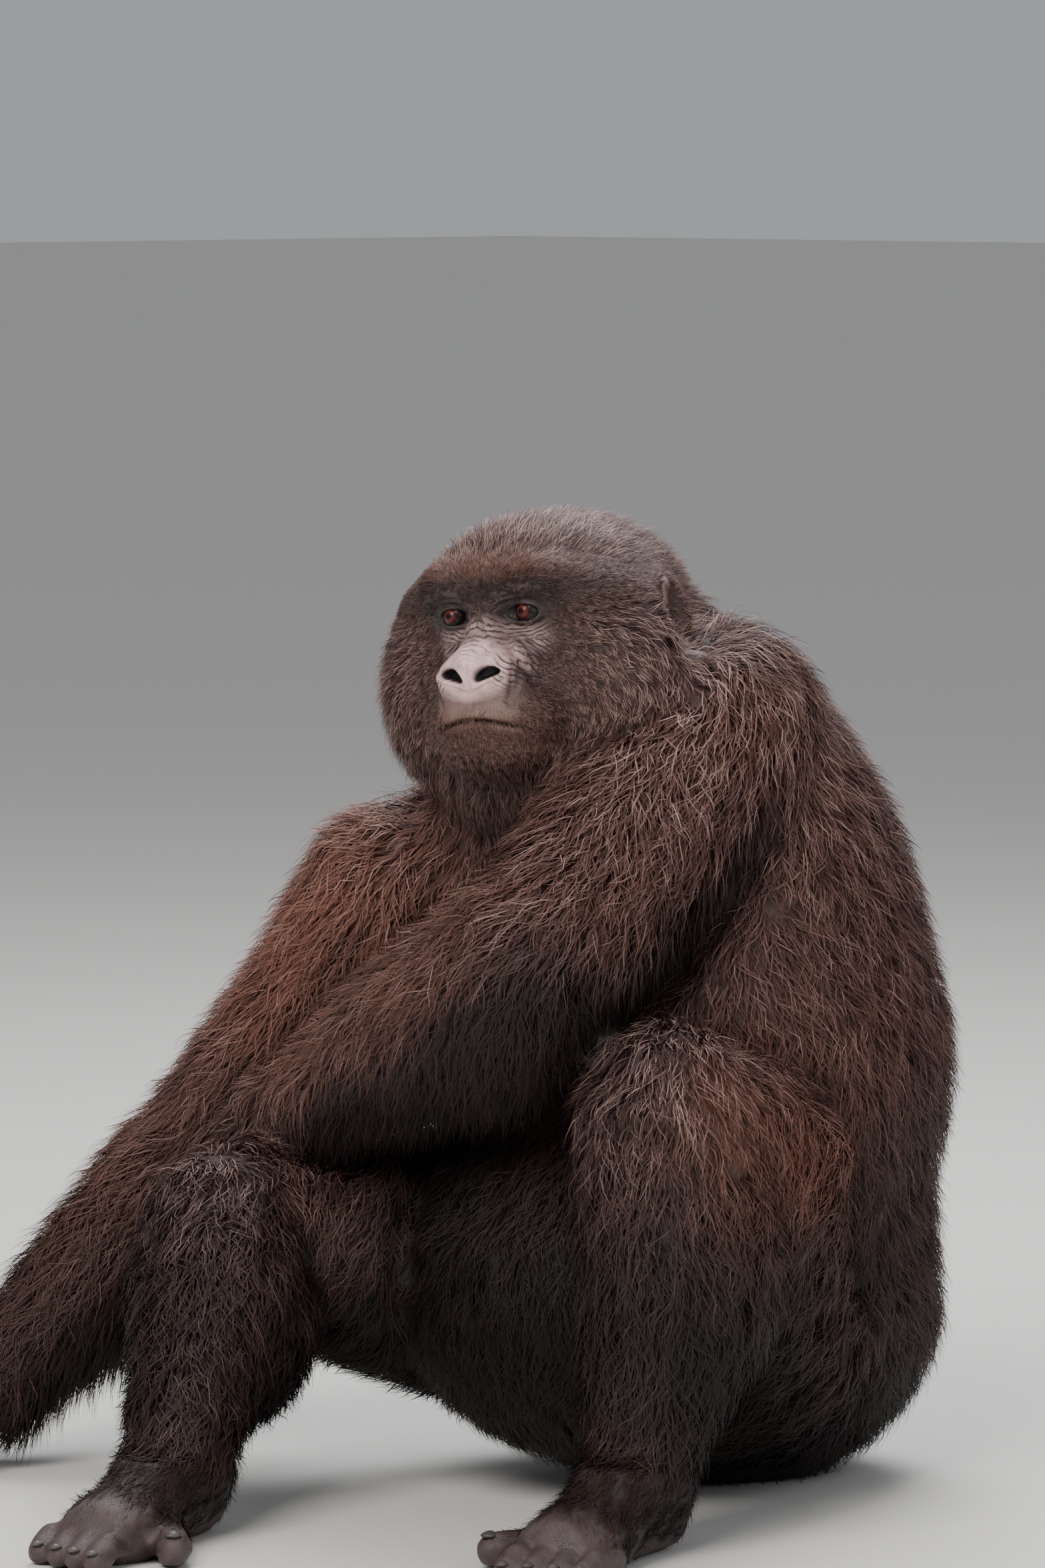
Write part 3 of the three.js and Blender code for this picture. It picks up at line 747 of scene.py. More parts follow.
    def relief(self, q: np.ndarray) -> np.ndarray:
        """Measures the height of the folds.

        Args:
            q: Points of the head.

        Returns:
            Millimetres out of the skin.
        """
        x, z = np.abs(q[:, 0]), q[:, 2]
        v, lid = self.lid_place(q)[1:]
        upper = smoothstep(-0.15, 0.25, v)
        height = 0.6 * groove(lid - 1.04, 0.08)
        for place, width, rise in self.lid_folds:
            height = height + rise * upper * groove(lid - place, width)
        height += smoothstep(0.1, -0.3, v) * (0.9 * groove(lid - 1.9, 0.35) - 0.9 * groove(lid - 1.35, 0.12))
        beside, reach = self.round_nose(q, -1.0)
        height -= reach * (3.0 * groove(beside - 38.5, 2.3) + 1.4 * groove(beside - 45.0, 1.9))
        cleft = self.cleft(q)
        lips = 1.6 * groove(cleft - 5.5, 4.5) + 1.8 * groove(cleft + 6.5, 5.0)
        height += lips * smoothstep(56.0, 34.0, x)
        height -= groove(x, 2.0) * smoothstep(-88.0, -82.0, z) * smoothstep(-64.0, -72.0, z)
        height -= 1.2 * groove(x, 1.6) * smoothstep(-30.0, -40.0, z) * smoothstep(-66.0, -60.0, z)
        height += 1.3 * groove(self.nostril(q) - 1.28, 0.2) * smoothstep(-30.0, -42.0, z)
        return smoothstep(-70.0, -90.0, q[:, 1]) * height

    def wrinkles(self, q: np.ndarray) -> tuple[np.ndarray, np.ndarray]:
        """Lays out the fine creases of the face.

        Args:
            q: Points of the head.

        Returns:
            The phase of the creases, which run where it is a whole turn, and their strength.
        """
        x, z = np.abs(q[:, 0]), q[:, 2]
        u, v, lid = self.lid_place(q)
        below = smoothstep(0.3, -0.5, v) * smoothstep(1.15, 1.4, lid) * smoothstep(4.6, 2.4, lid)
        bridge = 0.6 * smoothstep(25.0, 12.0, x) * smoothstep(-46.0, -34.0, z) * smoothstep(20.0, 10.0, z)
        cheek = smoothstep(20.0, 28.0, x) * smoothstep(66.0, 50.0, x) * smoothstep(-72.0, -60.0, z)
        cheek = cheek * smoothstep(-18.0, -26.0, z)
        lip = smoothstep(54.0, 40.0, x) * smoothstep(-118.0, -108.0, z) * smoothstep(-76.0, -90.0, z) * 0.22
        parts = np.stack([below, bridge, cheek, lip])
        beside, over = 1.3 * (z + 0.8 * x), 1.5 * z + 0.03 * x * x
        phases = np.stack([13.0 * lid + 4.0 * u, over, beside, 1.5 * x + 0.2 * z])
        chosen, rows = parts.argmax(axis=0), np.arange(len(q))
        return phases[chosen, rows], parts[chosen, rows] * smoothstep(-70.0, -88.0, q[:, 1])

    def lie(self, q: np.ndarray) -> np.ndarray:
        """Gives the lie of the coat on the head.

        Args:
            q: Points of the head.

        Returns:
            Directions in the head's frame.
        """
        x, y, z = q.T
        none, one = np.zeros_like(x), np.ones_like(x)
        crown = smoothstep(5.0, 45.0, z)[:, None]
        top = np.stack([0.15 * np.sign(x), one, 0.10 - 0.9 * smoothstep(30.0, 100.0, y)], axis=1)
        radial = unit(np.stack([x, none, z + 25.0], axis=1))
        cheek = 0.75 * radial + np.stack([none, 0.75 * one, -0.55 * one], axis=1)
        beard = np.stack([0.25 * np.sign(x), 0.10 * one, -one], axis=1)
        low = smoothstep(-55.0, -105.0, z)[:, None]
        return unit(crown * top + (1.0 - crown) * ((1.0 - low) * cheek + low * beard))

    def settle(self, points: np.ndarray, rounds: int = 9) -> np.ndarray:
        """Moves points of the frame onto the head's skin.

        Args:
            points: Points near the head, in metres.
            rounds: Newton steps.

        Returns:
            The moved points, in metres.
        """
        q = self.inward(points)
        for _ in range(rounds):
            value, slope = slope_of(self.flesh, q, 0.35)
            move = np.clip(value / np.maximum((slope**2).sum(axis=1), 0.15), -3.0, 3.0)
            q = q - 0.85 * move[:, None] * slope
        return self.outward(q)


# ---------------------------------------------------------------- the body's outline and its fields


@dataclass(frozen=True)
class Patch:
    """A soft-edged area of the coat, placed in metres from a joint, with its own colouring, painted shade and
    growth.
    """

    joint: str
    offset: tuple
    radius: float
    red: float = 0.0
    frost: float = 0.0
    length: float = 1.0
    # painted shade laid over the coat in this area
    shade: float = 0.0
    swell: float = 0.0
    lie: tuple = (0.0, 0.0, 0.0)
    whorl: float = 0.0

    def reach(self, points: np.ndarray, places: dict) -> tuple[np.ndarray, np.ndarray]:
        """Lays the patch over points.

        Args:
            points: Places in metres.
            places: The joints by name.

        Returns:
            The way to each point from the patch's middle, and how far the patch counts there.
        """
        away = points - places[self.joint] - np.array(self.offset)
        return away, groove(np.linalg.norm(away, axis=1), self.radius)


@dataclass(frozen=True)
class PartCoat:
    """How the coat grows on one kind of part: millimetres, and tufts per square centimetre."""

    depth: float
    length: float
    density: float
    red: float = 0.0
    frost: float = 0.0


@dataclass
class Body:
    """The outline of the whole animal out to the tips of its coat, with the fields that its coat follows.

    The fields hold a value for each point of the outline: the part it belongs to, how much it is head or
    furrow, the lie, depth, length and density of the coat, how bare it is and how loosely its hair hangs,
    how reddish and grey-tipped it is, with painted sheen in the grey tips, and how much painted shade it has.
    """

    voxel: float = 0.0075
    fairing: int = 14
    overlap: float = 0.0007
    furrow: float = 2.6
    deepest: float = 0.024
    palm_edges: tuple = (("hand", "wrist", 0.76), ("foot", "ankle", 0.60))  # shares of the limb's reach
    chest_out: float = 0.25
    rump_out: float = 0.35
    neck_out: float = 0.9
    neck_back: tuple = (0.0, 0.35, 0.0)
    toe_hang: float = 0.2
    finger_hang: float = 0.4
    knee_whorl: tuple = (0.01, -0.02, 0.08)  # from the joint: outwards, then along Y and Z
    knee_radius: float = 0.10
    knee_pull: float = 2.5
    shin_out: float = 0.45
    lie_pull: float = 2.5
    comb_rounds: int = 40
    floor_fade: tuple = (0.035, 0.005)  # heights between which the coat grows thin
    floor_bare: tuple = (0.001, 0.006)  # heights between which tufts begin
    kinds: dict = field(default_factory=lambda: {
        "head": PartCoat(12, 30, 1.0, 0.06, 0.30),
        "neck": PartCoat(13, 40, 1.0, 0.15, 0.15),
        "chest": PartCoat(13, 42, 1.0, 0.25, 0.12),
        "belly": PartCoat(12, 42, 1.1, 0.25, 0.0),
        "rump": PartCoat(13, 46, 0.9, 0.15, 0.05),
        "upper_arm": PartCoat(15, 56, 1.15, 0.28, 0.16),
        "forearm": PartCoat(16, 60, 1.2, 0.35, 0.10),
        "thigh": PartCoat(13, 50, 1.0, 0.25, 0.12),
        "shin": PartCoat(13, 50, 1.1, 0.12, 0.12),
        "ear": PartCoat(0, 7, 0.5, 0.10, 0.0),
        "hand": PartCoat(5.0, 42, 1.7, 0.20, 0.1),
        "foot": PartCoat(3.0, 24, 1.4, 0.10, 0.0),
    })
    patches: tuple = (
        # grey tips in these patches: real grey hair, partly painted sheen on the knees and shoulders
        Patch("knee_left", (0.02, -0.03, 0.09), 0.075, frost=0.8, length=0.75),
        Patch("knee_left", (0.10, 0.00, 0.05), 0.06, red=0.9, length=0.6),
        Patch("knee_right", (0.00, -0.03, 0.09), 0.08, frost=0.7, length=0.85),
        # painted shade on the shins, below the knees
        Patch("knee_left", (0.03, -0.05, -0.07), 0.10, shade=0.55),
        Patch("knee_right", (0.025, -0.055, -0.10), 0.10, shade=0.5),
        Patch("shoulder_left", (0.06, 0.02, 0.08), 0.14, frost=0.25, red=0.15),
        Patch("shoulder_right", (-0.04, 0.02, 0.06), 0.12, frost=0.1, red=0.4),
        Patch("shoulder_right", (-0.05, -0.03, 0.07), 0.09, swell=0.016),
        Patch("shoulder_left", (0.0, -0.003, 0.142), 0.12, whorl=3.5),
        Patch("elbow_left", (0.02, -0.02, 0.03), 0.10, red=0.3, frost=0.1),
        # painted shade in the elbow's crease and under the forearm
        Patch("elbow_left", (0.09, -0.07, -0.03), 0.085, shade=1.0),
        Patch("wrist_left", (0.116, 0.04, 0.01), 0.08, shade=0.9, length=1.2),
        Patch("elbow_right", (0.0, -0.03, 0.0), 0.10, red=0.6, frost=0.1, lie=(-0.5, -0.5, -0.1)),
        Patch("shoulder_right", (-0.02, -0.06, -0.04), 0.12, red=0.9),
        Patch("hip_left", (0.09, -0.02, 0.10), 0.10, red=0.8),
    )
    head: HeadForm = field(init=False)
    mesh: bpy.types.Mesh = field(init=False)
    hull: Surface = field(init=False)
    places: dict = field(init=False)
    part: np.ndarray = field(init=False)
    head_weight: np.ndarray = field(init=False)
    cavity: np.ndarray = field(init=False)
    flow: np.ndarray = field(init=False)
    depth: np.ndarray = field(init=False)
    length: np.ndarray = field(init=False)
    density: np.ndarray = field(init=False)
    bare: np.ndarray = field(init=False)
    loose: np.ndarray = field(init=False)
    red: np.ndarray = field(init=False)
    frost: np.ndarray = field(init=False)
    shade: np.ndarray = field(init=False)

    def build(self) -> None:
        """Makes the outline and every field over it."""
        self.head = HeadForm()
        copy = merged_copy(FLESH, self.overlap)
        shape = opened(applied(copy, "outline", "REMESH", mode="VOXEL", voxel_size=self.voxel))
        self.keep_largest(shape)
        self.mesh = taken(shape, bpy.data.meshes.new("outline"))
        self.hull = Surface.from_mesh(self.mesh)
        self.label()
        self.shape()
        self.comb()
        self.measure()
        self.colour()
        LOG.info("outline: %d points", len(self.hull.points))

    @staticmethod
    def keep_largest(shape: bmesh.types.BMesh) -> None:
        """Deletes every island of a mesh but the largest.

        Args:
            shape: The mesh.
        """
        seen, islands = set(), []
        for vert in shape.verts:
            if vert in seen:
                continue
            island, stack = [], [vert]
            seen.add(vert)
            while stack:
                here = stack.pop()
                island.append(here)
                fresh = {edge.other_vert(here) for edge in here.link_edges} - seen
                seen |= fresh
                stack.extend(fresh)
            islands.append(island)
        for island in sorted(islands, key=len)[:-1]:
            bmesh.ops.delete(shape, geom=island, context="VERTS")

    def label(self) -> None:
        """Finds which part each point belongs to, and where the joints are."""
        points, polygons, owner = [], [], []
        for name in FLESH:
            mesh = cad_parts[name].data
            first = len(points)
            points.extend(v.co for v in mesh.vertices)
            polygons.extend(tuple(first + k for k in p.vertices) for p in mesh.polygons)
            owner.extend([PART_ID[name]] * len(mesh.polygons))
        tree = BVHTree.FromPolygons(points, polygons)
        self.part = np.array([owner[tree.find_nearest(Vector(p))[2]] for p in self.hull.points])
        self.places = {
            f"{joint}_{side}": meeting(f"{part}_{side}", other if other in TRUNK_PARTS else f"{other}_{side}")
            for side in SIDES for joint, part, other in JOINTS
        }

    def on(self, *names: str) -> np.ndarray:
        """Marks the points that belong to the named parts."""
        return np.isin(self.part, [PART_ID[name] for name in names])

    def kind_values(self, key: str) -> np.ndarray:
        """Spreads one of the kinds' values over the points by part."""
        kinds = [name if name in TRUNK_PARTS else name.rsplit("_", 1)[0] for name in FLESH]
        return np.array([getattr(self.kinds[kind], key) for kind in kinds], float)[self.part]

    def shape(self) -> None:
        """Smooths the outline, gives it its head and sinks its furrows."""
        hull = self.hull
        ends, bare = self.on(*END_PARTS), self.on(*END_PARTS, *both("ear"))
        hull.fair(self.fairing, hull.spread(np.where(bare, 0.35, 1.0), 3))
        self.head_weight = hull.spread(self.on(*HEAD_PARTS).astype(float), 6) ** 2
        inside = self.head_weight > 0.01
        self.onto_head(inside)
        hull.refresh()
        amount = hull.spread(np.where(ends, 0.0, 1.0), 12) ** 2 * np.where(bare | inside, 0.0, 1.0)
        relief = dot(hull.points - hull.spread(hull.points, 30), hull.normals)
        # marks the furrows, where the coat gets painted shade
        self.cavity = hull.spread(smoothstep(-0.0004, -0.007, relief) * amount, 2)
        sink = np.clip(self.furrow * np.minimum(relief + 0.0005, 0.0), -self.deepest, 0.0)
        hull.points += hull.normals * (hull.spread(sink * amount, 1))[:, None]
        for patch in self.patches:
            near = patch.reach(hull.points, self.places)[1]
            hull.points += hull.normals * (patch.swell * amount * near)[:, None]
        hull.refresh()

    def onto_head(self, inside: np.ndarray, rounds: int = 6) -> None:
        """Moves the head's points onto its smooth form.

        Args:
            inside: Marks the points to move.
            rounds: Newton steps.
        """
        start = self.head.inward(self.hull.points)[inside]
        moved = start.copy()
        for _ in range(rounds):
            value, slope = slope_of(self.head.outline, moved, 0.5)
            size = np.maximum((slope**2).sum(axis=1), 0.2)
            moved = moved - np.clip(value, -4.0, 4.0)[:, None] * slope / size[:, None]
        near = smoothstep(24.0, 12.0, np.linalg.norm(moved - start, axis=1)) * self.head_weight[inside]
        self.hull.points[inside] = self.head.outward(start + near[:, None] * (moved - start))

    def comb(self) -> None:
        """Lays the coat: down the trunk, along the bones, away from whorls, back over the head."""
        hull, places = self.hull, self.places
        p, n = hull.points, hull.normals
        flow = np.tile(DOWN, (len(p), 1))
        middle = (places["shoulder_left"] + places["shoulder_right"]) / 2.0
        outward = unit((p - middle) * np.array([1.0, 1.0, 0.0]))
        top = smoothstep(0.3, 0.9, n[:, 2])[:, None]
        chest, rump, neck = self.on("chest"), self.on("rump"), self.on("neck")
        flow[chest] = (DOWN + (self.chest_out + top) * outward)[chest]
        flow[rump] = DOWN + self.rump_out * outward[rump]
        flow[neck] = (DOWN + np.array(self.neck_back) + self.neck_out * top * outward)[neck]
        for side, out in (("left", 1.0), ("right", -1.0)):
            for part, start, end, hang in BONES:
                bone = places[f"{end}_{side}"] - places[f"{start}_{side}"]
                flow[self.on(f"{part}_{side}")] = unit(bone) + hang * DOWN
            low, high = box_of(f"foot_{side}")
            toes = np.array([(low + high)[0] / 2, low[1], 0.0]) - places[f"ankle_{side}"]
            flow[self.on(f"foot_{side}")] = unit(toes) + self.toe_hang * DOWN
            low, high = box_of(f"hand_{side}")
            fingers = (low + high) / 2 - places[f"wrist_{side}"]
            flow[self.on(f"hand_{side}")] = unit(fingers) + self.finger_hang * DOWN
            from_knee = p - places[f"knee_{side}"]
            away = from_knee - np.array(self.knee_whorl) * np.array([out, 1.0, 1.0])
            near = groove(np.linalg.norm(away, axis=1), self.knee_radius)
            near = near * self.on(f"thigh_{side}", f"shin_{side}")
            flow += self.knee_pull * near[:, None] * unit(away)
            shin = self.on(f"shin_{side}")
            flow[shin] += self.shin_out * unit(from_knee * np.array([1.0, 0.6, 0.0]))[shin]
        for patch in self.patches:
            away, near = patch.reach(p, places)
            flow += near[:, None] * (self.lie_pull * np.array(patch.lie) + patch.whorl * unit(away))
        head = self.on("head")
        flow[head] = self.head.turn(self.head.lie(self.head.inward(p)[head]))
        flow = unit(flow)
        for _ in range(self.comb_rounds):
            flow = unit(hull.along(hull.mean(flow)))
        self.flow = flow

    def measure(self) -> None:
        """Lays out the depth, length and density of the coat, and where it is bare or hangs loose."""
        hull, head = self.hull, self.on("head")
        p, q = hull.points, self.head.inward(hull.points)
        face, palms = self.head.bare_radius(q), self.palm_mask()
        head_depth, head_length = self.head.coat_depth(q), self.head.hair_length(q)
        depth = np.where(head, head_depth, self.kind_values("depth"))
        length = np.where(head, head_length, self.kind_values("length"))
        density = self.kind_values("density") * (1.0 - palms)
        thick = 1.0 + 2.0 * smoothstep(22.0, 8.0, length)
        density = np.where(head, smoothstep(0.9, 1.2, face) * thick, density)
        depth = hull.spread(depth, 10) * (1.0 - 0.8 * smoothstep(*self.floor_fade, p[:, 2]))
        self.depth = hull.spread(np.where(head, head_depth, depth), 2) * MM
        self.length = np.where(head, head_length, hull.spread(length, 7)) * MM
        self.density = hull.spread(density, 1) * smoothstep(*self.floor_bare, p[:, 2])
        bare = np.where(head, smoothstep(1.25, 0.8, face), 0.0)
        self.bare = hull.spread(np.maximum.reduce([bare, palms, self.on(*both("ear")) * 0.9]), 2)
        under = smoothstep(0.15, -0.55, hull.spread(hull.normals, 4)[:, 2])
        self.loose = hull.spread(np.where(self.on(*both("upper_arm", "forearm")), under, 0.0), 4)

    def palm_mask(self) -> np.ndarray:
        """Marks palms, soles, fingers and toes, which are bare.

        Returns:
            Numbers from 0 to 1.
        """
        hull = self.hull
        mask = np.zeros(len(hull.points))
        under = smoothstep(-0.35, -0.8, hull.normals[:, 2])
        for side in SIDES:
            for limb, joint, edge in self.palm_edges:
                own = self.on(f"{limb}_{side}")
                span = np.linalg.norm(hull.points - self.places[f"{joint}_{side}"], axis=1)
                reach = np.quantile(span[own], 0.97)
                far = smoothstep(edge * reach, (edge + 0.18) * reach, span)
                mask[own] = np.maximum(far, under)[own]
        return mask

    def colour(self) -> None:
        """Lays out where the coat is reddish, where its tips are grey, partly as painted sheen, and where
        painted shade darkens it.
        """
        hull, form, head = self.hull, self.head, self.on("head")
        p, q = hull.points, form.inward(hull.points)
        x, y, z = folded(q).T
        face, up = form.bare_radius(q), hull.normals[:, 2]
        red, frost = self.kind_values("red"), self.kind_values("frost")
        # painted shade in the furrows, less on faces that look up
        dim = 0.8 * self.cavity * smoothstep(0.75, 0.2, up)
        band = groove(z - 34.0, 16.0) * smoothstep(-40.0, -90.0, y)
        band = band * smoothstep(84.0, 30.0, x) * smoothstep(0.9, 1.3, face)
        mouth = smoothstep(-76.0, -86.0, z) * smoothstep(-130.0, -112.0, z)
        mouth = mouth * smoothstep(64.0, 48.0, x) * smoothstep(-60.0, -90.0, y)
        red += head * (0.62 * band + 0.3 * mouth)
        frost += head * 0.62 * smoothstep(40.0, 58.0, z) * smoothstep(60.0, -60.0, y)
        for patch in self.patches:
            amount = patch.reach(p, self.places)[1]
            red += patch.red * amount
            frost += patch.frost * amount
            dim += patch.shade * amount
            self.length *= 1.0 + (patch.length - 1.0) * amount
        # painted sheen: grey tips high on the body, more on the faces that look up
        upper = smoothstep(0.35, 0.75, p[:, 2]) * np.clip(up * 0.5 + 0.5, 0, 1)
        cheek = smoothstep(1.6, 2.6, face) * smoothstep(10.0, -20.0, z) * smoothstep(-125.0, -90.0, z)
        frost += np.where(head, 0.42 * cheek, 0.2 * upper)
        lids = self.bare * smoothstep(-68.0, -56.0, z) * head
        self.red = np.clip(hull.spread(red, 8), 0.0, 1.0) * (1.0 - lids)
        self.frost = np.clip(hull.spread(frost, 8), 0.0, 1.0)
        # painted shade under the brow, strongest above the eyes
        socket = groove(z - 17.0, 12.0) * smoothstep(-50.0, -85.0, y)
        socket = 1.2 * socket * (0.45 + 0.55 * smoothstep(80.0, 52.0, x))
        # painted shade on faces that look down, low on the body, under the arms' hanging hair and on the
        # belly
        under = 0.5 * smoothstep(0.15, -0.6, hull.spread(hull.normals, 4)[:, 2])
        dim += 0.6 * smoothstep(0.42, 0.15, p[:, 2]) + 0.6 * self.loose + 0.5 * self.on("belly")
        dim += np.where(head, socket, under)
        self.shade = np.clip(hull.spread(dim, 6), 0.0, 1.0)


# ---------------------------------------------------------------- finishes


class Slot(Enum):
    """The finishes, by name."""

    COAT = "coat"
    SKIN = "skin"
    EYE = "eye"
    NAIL = "nail"


class Shader:
    """A material's node tree with short ways to add nodes."""

    def __init__(self, tree: bpy.types.NodeTree) -> None:
        """Takes the tree that nodes are added to."""
        self.tree = tree

    def fill(self, node: bpy.types.Node, inputs: dict) -> None:
        """Links sockets to a node's inputs and sets its other inputs.

        Args:
            node: The node.
            inputs: Values or sockets by input name or number.
        """
        for key, value in inputs.items():
            if isinstance(value, bpy.types.NodeSocket):
                self.tree.links.new(value, node.inputs[key])
            else:
                node.inputs[key].default_value = value

    def add(self, kind: str, inputs: dict | None = None, **settings: object) -> bpy.types.Node:
        """Adds a node.

        Args:
            kind: The node's type.
            inputs: Values or sockets by input name or number.
            settings: Properties of the node.

        Returns:
            The new node.
        """
        node = self.tree.nodes.new(kind)
        for key, value in settings.items():
            setattr(node, key, value)
        self.fill(node, inputs or {})
        return node

    def maths(self, kind: str, a: object, b: object = 0.0, clamp: bool = False) -> bpy.types.NodeSocket:
        """Adds a sum of two numbers and returns its result."""
        return self.add("ShaderNodeMath", {0: a, 1: b}, operation=kind, use_clamp=clamp).outputs[0]

    def times(self, a: object, b: object, clamp: bool = False) -> bpy.types.NodeSocket:
        """Multiplies two numbers."""
        return self.maths("MULTIPLY", a, b, clamp)

    def plus(self, a: object, b: object) -> bpy.types.NodeSocket:
        """Adds two numbers."""
        return self.maths("ADD", a, b)

    def mix(self, amount: object, a: object, b: object) -> bpy.types.NodeSocket:
        """Mixes two colours: a where the amount is 0, b where it is 1."""
        node = self.add("ShaderNodeMix", {0: amount, 6: a, 7: b}, data_type="RGBA", clamp_factor=True)
        return node.outputs[2]

    def attribute(self, name: str) -> bpy.types.NodeSocket:
        """Reads a number from the mesh."""
        return self.add("ShaderNodeAttribute", attribute_name=name).outputs["Fac"]

    def noise(self, scale: float, detail: float = 3.0) -> bpy.types.NodeSocket:
        """Adds a noise over the object's own place and returns its value."""
        place = self.add("ShaderNodeTexCoord").outputs["Object"]
        return self.add("ShaderNodeTexNoise", {"Vector": place, "Scale": scale, "Detail": detail}).outputs[0]

    def remap(self, value: object, low: float, high: float, to: tuple = (0.0, 1.0)) -> bpy.types.NodeSocket:
        """Maps low..high to another range, clamped."""
        inputs = {0: value, 1: low, 2: high, 3: to[0], 4: to[1]}
        return self.add("ShaderNodeMapRange", inputs, clamp=True).outputs[0]


def rgb(red: float, green: float, blue: float) -> tuple:
    """Turns 0-255 display values into a linear colour."""
    shares = (value / 255.0 for value in (red, green, blue))
    return tuple(s / 12.92 if s < 0.0404 else ((s + 0.055) / 1.055) ** 2.4 for s in shares) + (1.0,)


@dataclass(frozen=True)
class CoatTone:
    """The colouring that the skin under the coat and the tufts share, with its painted shade, sheen and
    glints.

    A pair named as a range holds the values where an effect begins and where it is full.
    """

    deep: tuple = rgb(21, 15, 14)
    dark: tuple = rgb(86, 61, 56)
    brown: tuple = rgb(130, 82, 66)
    grey: tuple = rgb(204, 170, 161)
    lift_along: float = 0.55
    lift_strand: float = 0.5
    cloud_scale: float = 14.0
    cloud_least: float = 0.45
    cloud_rise: float = 0.8
    warm_range: tuple = (-0.3, 0.6)
    warm_least: float = 0.5
    tip_range: tuple = (0.2, 0.9)
    tip_strands: tuple = (0.42, 0.64)
    tip_amount: float = 1.1
    # painted glints on single strands
    glint_range: tuple = (0.1, 0.5)
    glint_strands: tuple = (0.74, 0.9)
    glint_least: float = 0.25
    shade_amount: float = 0.92
    fields: tuple = ("Along", "Strand", "Red", "Frost", "Shade")

    def group(self) -> bpy.types.NodeTree:
        """Builds the shared group.

        Returns:
            A node group from the coat's fields to a colour.
        """
        found = bpy.data.node_groups.get("CoatTone")
        if found:
            return found
        tree = bpy.data.node_groups.new("CoatTone", "ShaderNodeTree")
        for name in self.fields:
            tree.interface.new_socket(name, in_out="INPUT", socket_type="NodeSocketFloat")
        tree.interface.new_socket("Color", in_out="OUTPUT", socket_type="NodeSocketColor")
        pen = Shader(tree)
        give = pen.add("NodeGroupInput").outputs
        along, strand, frost = give["Along"], give["Strand"], give["Frost"]
        # lighter towards the tips and by each strand's lightness, which painted shade lowers in the
        # under-layer
        lit = pen.plus(pen.times(along, self.lift_along), pen.times(strand, self.lift_strand))
        base = pen.mix(lit, self.deep, self.dark)
        cloud = pen.plus(self.cloud_least, pen.times(pen.noise(self.cloud_scale, 2.0), self.cloud_rise))
        warm = pen.times(pen.times(give["Red"], cloud), pen.remap(along, *self.warm_range))
        base = pen.mix(pen.times(warm, pen.plus(self.warm_least, strand), True), base, self.brown)
        # grey tips: real grey hair, partly painted sheen
        tips = pen.times(pen.remap(along, *self.tip_range), pen.remap(strand, *self.tip_strands))
        base = pen.mix(pen.times(tips, pen.times(self.tip_amount, frost), True), base, self.grey)
        # painted glints: a few strands bright grey near their tips, more where the tips are grey
        glint = pen.times(pen.remap(strand, *self.glint_strands), pen.remap(along, *self.glint_range))
        base = pen.mix(pen.times(glint, pen.plus(self.glint_least, frost), True), base, self.grey)
        # painted shade: darkens the colour towards the deepest colour where the shade field is high
        base = pen.mix(pen.times(give["Shade"], self.shade_amount), base, self.deep)
        pen.add("NodeGroupOutput", {0: base})
        return tree

    def colour(self, pen: Shader, along: object) -> bpy.types.NodeSocket:
        """Places the group in a material.

        Args:
            pen: The material's pen.
            along: The share of the way from root to tip, as a socket or a number.

        Returns:
            The colour.
        """
        inputs = {key: along if key == "Along" else pen.attribute(key.lower()) for key in self.fields}
        return pen.add("ShaderNodeGroup", inputs, node_tree=self.group()).outputs[0]


def material(name: str) -> tuple[bpy.types.Material, Shader, bpy.types.Node]:
    """Starts a material.

    Args:
        name: Its name.

    Returns:
        The material, its pen and its Principled shader.
    """
    made = bpy.data.materials.new(name)
    made.use_nodes = True
    return made, Shader(made.node_tree), made.node_tree.nodes["Principled BSDF"]


@dataclass(frozen=True)
class CoatFinish:
    """Soft, dull hair."""

    tone: CoatTone = CoatTone()
    roughness: float = 0.62
    shine: float = 0.32

    def build(self) -> bpy.types.Material:
        """Makes the tufts' material.

        Returns:
            The material, coloured by the coat's fields.
        """
        made, pen, shader = material("coat_hair")
        pen.fill(shader, {
            "Base Color": self.tone.colour(pen, pen.attribute("along")),
            "Roughness": self.roughness,
            "Specular IOR Level": self.shine,
        })
        return made


